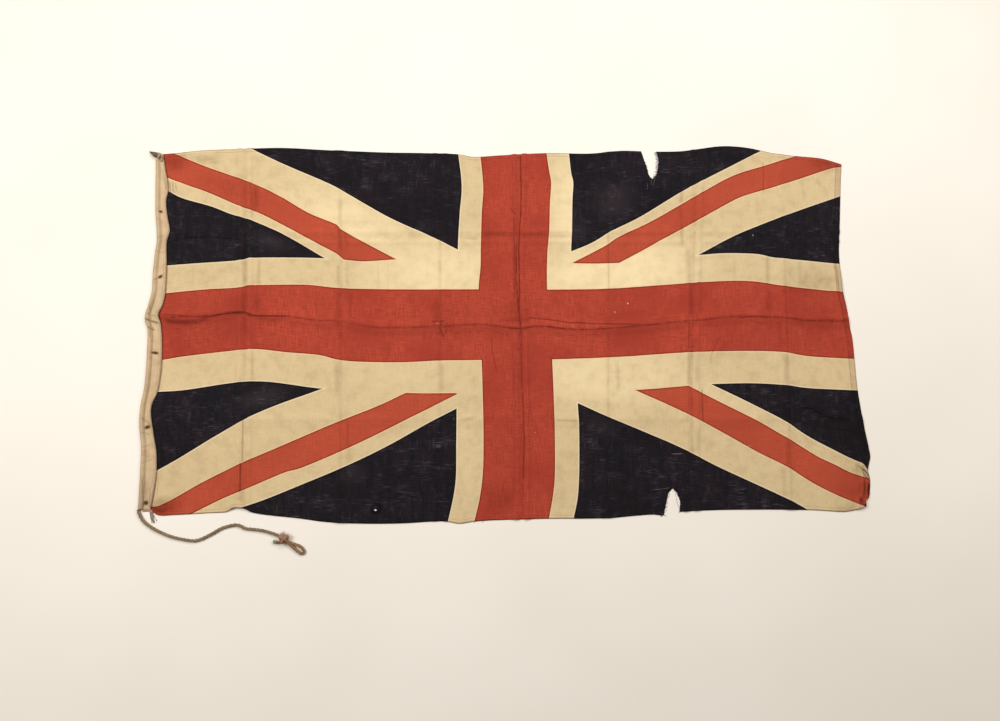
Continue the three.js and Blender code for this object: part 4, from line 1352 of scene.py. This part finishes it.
def paint_cloth(mesh):
    points = mesh_points(mesh)
    x, y = points[:, 0], points[:, 1]
    paint_pattern(mesh, x, y)
    paint_marks(mesh, x, y)
    column = panel_value(x, [line(y) for line in column_guides])
    row = panel_value(y, [line(x) for line in row_guides])
    fold_x, band_x, line_x = nearest_fold(x, y, column_guides, COLUMN_FOLD_SHADE_AND_DIRT)
    fold_y, band_y, line_y = nearest_fold(y, x, row_guides, ROW_FOLD_SHADE_AND_DIRT)
    to_hem = np.minimum(row_guides[-1](x) - y, y - row_guides[0](x))
    for name, values in (
        ("weave", np.stack([column * PANEL_WIDTH, row * PANEL_HEIGHT, 0 * row], axis=1)),
        ("place", points * MM),
        ("fold_x", fold_x),
        ("fold_y", fold_y),
        # How dark the painted fold shade is: its soft band, and its thin line that carries dirt too.
        ("dirt", np.stack([band_x, band_y, 0 * x], axis=1)),
        ("fold_line_shade_and_dirt", np.stack([line_x, line_y, 0 * x], axis=1)),
        ("to_hem", to_hem * MM),
        ("to_fly", (column_guides[-1](y) - x) * MM),
        ("to_seam", (x - column_guides[0](y)) * MM),
        # Darker patches of painted shade and dirt, then paler patches.
        ("patch_shade_and_dirt", np.clip(swell_lift(SHADE_AND_DIRT_PATCHES, x, y, PATCH_START), 0, 1)),
        ("paler_patch", np.clip(swell_lift(PALER_PATCHES, x, y, PATCH_START), 0, 1)),
        ("faded", swell_lift(FADED, x, y, PATCH_START)),
    ):
        set_attribute(mesh, name, values)


def cloth_cutters():
    cutters = [tear_cutter("top_tear", TOP_TEAR, 0.8), tear_cutter("bottom_tear", BOTTOM_TEAR, 0.7)]
    for number, (middle, long, wide) in enumerate(HOLES):
        turns = [k * math.pi / 5 for k in range(10)]
        rim = [(middle[0] + long * math.cos(a), middle[1] + wide * math.sin(a)) for a in turns]
        cutters.append(tear_cutter(f"hole_{number}", rim, 0.25))
    return cutters


def make_cloth():
    columns, rows = panel_lines(len(COLUMNS) - 1), panel_lines(len(ROWS) - 1)
    column, row = (grid.ravel() for grid in np.meshgrid(columns, rows, indexing="ij"))
    x, y = cloth_place(column, row)
    x = x + np.where(column == 0, SEAM_GAP, 0)
    lift = cloth_lift(x, y)
    to_hem = np.minimum(row_guides[-1](x) - y, y - row_guides[0](x))
    to_edge = np.minimum(to_hem, column_guides[-1](y) - x)
    hem = HEM_HEIGHT * np.clip((HEM_WIDTH - to_edge) / 2, 0, 1)
    top = np.stack([x, y, lift + CLOTH_THICKNESS + hem], axis=1)
    bottom = np.stack([x, y, lift + 0.02], axis=1)
    cloth = closed_sheet("bunting", top, bottom, len(columns), len(rows))
    cut(cloth, cloth_cutters())
    paint_cloth(cloth.data)
    cloth.data.materials.clear()
    cloth.data.materials.append(bunting_material())
    return cloth


cloth = make_cloth()


# Heading: the canvas sleeve with the rope inside it

def heading_profile(width):
    """The sleeve's section, round its outside, as points (across, height)."""
    rope = min(HEADING_ROPE_WIDTH, 0.5 * width)
    knots = [
        (0.2 * rope, 0), (0.03 * rope, 1.4), (0, 4.0), (0.12 * rope, 8.0), (0.42 * rope, 10.4),
        (0.74 * rope, 9.4), (rope, 5.6), (1.14 * rope, 3.6), (0.5 * (1.14 * rope + width), 2.9),
        (width - 1.5, 2.6), (width, 1.6), (width, 0.0),
    ]
    smooth = evenly_spaced(np.array(knots, float), PROFILE_POINTS)
    for _ in range(3):
        smooth[1:-1] = 0.25 * smooth[:-2] + 0.5 * smooth[1:-1] + 0.25 * smooth[2:]
    return smooth


def crease_depth(p):
    """How deep the canvas's creases are at each point, in millimetres."""
    depth = np.zeros(len(p))
    for start, end, half_width, deep in CANVAS_CREASES:
        a, run = np.array(start, float), np.array(end, float) - start
        share = np.clip((p[:, :2] - a) @ run / run.dot(run), 0, 1)
        away = np.linalg.norm(p[:, :2] - a - share[:, None] * run, axis=1)
        depth = np.maximum(depth, deep * ridge(np.minimum(away / (1.6 * half_width), 1)))
    return depth


def heading_sections():
    """The sleeve's sections from its bottom end to its top end."""
    sections = []
    for station in np.linspace(HEADING_BOTTOM, HEADING_TOP, HEADING_STATIONS):
        to_top = max(0.0, (station - HEADING_TOP_FROM) / (HEADING_TOP - HEADING_TOP_FROM)) ** 2
        y = station - HEADING_TOP_SHORT * to_top
        left = float(heading_edge(y))
        width = float(column_guides[0](y)) - left
        across, height = heading_profile(width).T
        slope = HEADING_TOP_DROP * to_top * (1 - across / width)
        pucker = 0.28 * math.sin(y * 2 * math.pi / 6.3) * np.exp(-((across - width + 3.5) / 3) ** 2)
        wave = 0.3 * np.sin(y / 9 + across / 4) + 0.2 * np.sin(y / 3.7 - across / 2)
        height = height + np.where(height > CANVAS_SIDE, pucker + wave * across / width, 0)
        sections.append(np.stack([left + across, y - slope, np.maximum(height, 0)], axis=1))
    return np.array(sections)


def paint_heading(mesh, p, creases):
    left, right = heading_edge(p[:, 1]), column_guides[0](p[:, 1])
    across, width = p[:, 0] - left, right - left
    rope = np.minimum(HEADING_ROPE_WIDTH, 0.5 * width)
    # The groove colour: painted shade and dirt beside the rope and in the creases, and the dark seam line.
    groove = np.interp(p[:, 1], *GROOVE_SHADE_AND_DIRT) * np.exp(-((across - 1.1 * rope) / 1.3) ** 2)
    groove = np.maximum(groove, 0.8 * np.exp(-((across - width) / 1.5) ** 2))
    groove = np.maximum(groove, 0.75 * creases)
    foot = np.clip((-360 - p[:, 1]) / 80, 0, 1)
    rust = swell_lift(RUST_SPOTS, p[:, 0], p[:, 1], (0, 0))
    for name, values in (
        ("groove", np.clip(groove, 0, 1) * (p[:, 2] > 1.5)),
        ("shade", 0.5 * np.exp(-(across / 4.5) ** 2)),
        ("foot", foot * np.interp(across / width, *FOOT_DIRT)),
        ("place", p * MM),
        ("rust", np.clip(rust, 0, 1)),
    ):
        set_attribute(mesh, name, values)


def make_heading():
    grid = heading_sections()
    points = grid.reshape(-1, 3)
    creases = crease_depth(points)
    points[:, 2] -= np.where(points[:, 2] > CANVAS_SIDE, creases, 0)
    faces = ring_faces(*grid.shape[:2], flip=True)
    heading = add_mesh("canvas_heading", points, faces, canvas_material())
    paint_heading(heading.data, points, creases)
    return heading


def make_stitches():
    """Two rows of stitches down the heading's seam."""
    parts = []
    for inset in STITCH_ROWS:
        for y in np.arange(HEADING_BOTTOM + 6, HEADING_TOP - 26, STITCH_PITCH):
            x, x_next = (float(column_guides[0](along)) - inset for along in (y, y + 3.4))
            line = [(x, y, 2.7), (x, y + 0.4, 3.15), (x_next, y + 3.0, 3.15), (x_next, y + 3.4, 2.7)]
            parts.append(tube(line, 0.38, 5))
    material = thread_material("heading_thread", (206, 186, 150), (160, 136, 100))
    return joined("heading_stitches", parts, material)


heading = make_heading()
stitches = make_stitches()


# Toggle and the rope's eye that holds it

toggle_tip, toggle_waist = in_frame([TOGGLE_TIP, TOGGLE_WAIST])


def make_toggle():
    length = float(np.linalg.norm(toggle_waist - toggle_tip))
    profile = [(radius * TOGGLE_RADIUS, along * length) for radius, along in TOGGLE_SHAPE]
    material = wood_material("toggle_wood", (126, 102, 78), (74, 58, 44), (66, 56, 48))
    return add_mesh("wooden_toggle", *lathe(profile, 40, toggle_tip, toggle_waist), material)


def make_eye():
    """Turns of the rope round the toggle's waist, down to the heading's top."""
    axis, side, up = axis_directions(toggle_tip, toggle_waist)
    angles = np.linspace(0, 2 * math.pi, 40)
    parts = []
    for turn in range(2):
        shift = 1.9 + 3.0 * turn + 0.6 * np.sin(angles)
        line = toggle_waist + axis * shift[:, None] + EYE_TURN_RADIUS * around(angles, side, up)
        parts += rope_strands(line, 4.2, pitch=11, sides=6)
    parts.append(lathe(EYE_CORE, 20, toggle_waist, toggle_waist + axis))
    parts += rope_strands(smooth_line(in_frame(EYE_LEAD), 1.2), 6.4, pitch=18)
    return joined("toggle_eye", parts, rope_material("eye_fibre", (208, 182, 146), (150, 126, 96)))


toggle = make_toggle()
eye = make_eye()


# Loose threads

def loose_thread(start, angle, length, curl, steps, low, radius):
    """A thread that wanders off from its start and comes down to a low height."""
    points = [np.array(start, float)]
    for _ in range(steps):
        angle += rng.normal() * curl
        step = length / steps
        points.append(points[-1] + np.array([math.cos(angle) * step, math.sin(angle) * step, 0]))
    line = np.array(points)
    line[:, 2] = np.maximum(np.linspace(start[2], low, len(line)), low)
    return tube(line, radius)


def rim_at(rim, y, inset):
    """The start of a rim's thread, so far from the rim, at a guide's height on the cloth."""
    x = np.interp(y, *np.transpose(rim))
    return x - GUIDE_START[0] + inset, y - GUIDE_START[1], RIM_THREAD_HEIGHT


def make_tear_fray():
    """Weft ends along the right rim of the top tear, and short ends on the other rims."""
    parts = []
    for y in np.arange(407, 481, 0.9):
        length = rng.uniform(4, 11) if y > 425 else rng.uniform(2, 6)
        angle = math.pi + rng.normal() * 0.12
        parts.append(loose_thread(rim_at(TOP_RIGHT_RIM, y, 1.5), angle, length, 0.12, 4, 0.8, 0.24))
    for y in np.arange(412, 480, 3.0):
        angle, length = rng.normal() * 0.3, rng.uniform(1.5, 4)
        parts.append(loose_thread(rim_at(TOP_LEFT_RIM, y, -1), angle, length, 0.2, 3, 0.8, 0.2))
    for y in np.arange(-468, -414, 2.2):
        for rim, inset, away in ((BOTTOM_LEFT_RIM, -1, 0.0), (BOTTOM_RIGHT_RIM, 1, math.pi)):
            angle, length = away + rng.normal() * 0.3, rng.uniform(1.5, 6)
            parts.append(loose_thread(rim_at(rim, y, inset), angle, length, 0.3, 3, 0.8, 0.2))
    for route in LONG_THREADS:
        line = smooth_line(in_frame(route, 0), 2.5)
        line[:, 2] = cloth_lift(line[:, 0], line[:, 1]) + CLOTH_THICKNESS + 0.35
        parts.append(tube(line, 0.42))
    for _ in range(16):
        x, y = (middle + rng.normal() * spread for middle, spread in zip(TEAR_CORNER, (1.6, 0.8)))
        parts.append(loose_thread((x, y, 1.6), -1.9 + rng.normal() * 0.6, 7, 0.6, 6, 0.6, 0.55))
    return joined("tear_fray", parts, thread_material("navy_thread", (150, 140, 148), (46, 42, 50)))


def make_hem_threads():
    """Loose sewing threads at the bottom hem."""
    parts = []
    for x, length in HEM_THREADS:
        start = (x, float(row_guides[0](x)) + 1, 1.2)
        parts.append(loose_thread(start, -1.3 + rng.normal() * 0.5, length, 0.7, 9, 0.4, 0.3))
    return joined("hem_threads", parts, thread_material("red_thread", (150, 96, 74), (110, 60, 46)))


def make_corner_tuft():
    """The tuft of threads under the bottom hoist corner."""
    parts = []
    for _ in range(48):
        start = (-876.6 + rng.normal() * 1.3, -455 + rng.normal() * 1.5, 1.4)
        angle = math.radians(-77) + rng.normal() * 0.06
        parts.append(loose_thread(start, angle, rng.uniform(14, 33), 0.06, 6, 0.5, 0.42))
    return joined("corner_tuft", parts, thread_material("tuft_thread", (184, 158, 144), (126, 104, 94)))


def make_heading_fray():
    """The heading's ragged bottom end."""
    parts = []
    for x in np.arange(-901, -878, 0.45):
        start = (x, -449.8 + rng.normal() * 0.3, 2.4)
        length = (8.2 if x > -897 else 4.5) * rng.uniform(0.7, 1.0)
        parts.append(loose_thread(start, -1.57 + rng.normal() * 0.08, length, 0.1, 4, 1.0, 0.7))
    material = thread_material("heading_fray_thread", (214, 188, 158), (170, 144, 116))
    return joined("heading_fray", parts, material)


tear_fray = make_tear_fray()
hem_threads = make_hem_threads()
corner_tuft = make_corner_tuft()
heading_fray = make_heading_fray()

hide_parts("flag_cloth")
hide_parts("heading")
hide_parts("toggle")
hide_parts("rope_eye")
for slot, pieces in (
    ("bunting", (cloth, tear_fray, hem_threads, corner_tuft)),
    ("canvas", (heading, stitches, heading_fray)),
    ("toggle_wood", (toggle,)),
    ("rope", (eye,)),
):
    for piece in pieces:
        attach(piece, "root")


# Floor and light

def floor_material():
    s = Shader("pale_floor")
    soft = s.noise(s.object_place(), 1.5, 2)
    colour = s.mix(s.step(soft, 0.3, 0.7), rgb(247, 240, 228), rgb(243, 235, 222))
    return s.finished(colour, 0.8, 0.1)


def make_floor():
    corners = [(x * FLOOR_REACH, y * FLOOR_REACH, 0) for x, y in ((-1, -1), (1, -1), (1, 1), (-1, 1))]
    add_mesh("floor", corners, [(0, 1, 2, 3)], floor_material(), smooth=False)


def make_light(name, place, energy, colour):
    data = bpy.data.lights.new(name, "AREA")
    data.shape = "SQUARE"
    data.size = LAMP_SIZE
    data.energy = energy
    data.color = colour
    light = bpy.data.objects.new(name, data)
    light.location = place
    light.rotation_euler = Vector(place).to_track_quat("Z", "Y").to_euler()
    bpy.context.collection.objects.link(light)


def make_world():
    world = bpy.data.worlds.new("studio")
    bpy.context.scene.world = world
    world.use_nodes = True
    background = world.node_tree.nodes["Background"]
    background.inputs[0].default_value = (1.0, 0.84, 0.7, 1)
    background.inputs[1].default_value = 0.14


make_floor()
make_world()
for lamp in LAMPS:
    make_light(*lamp)
bpy.context.scene.view_settings.view_transform = "Standard"
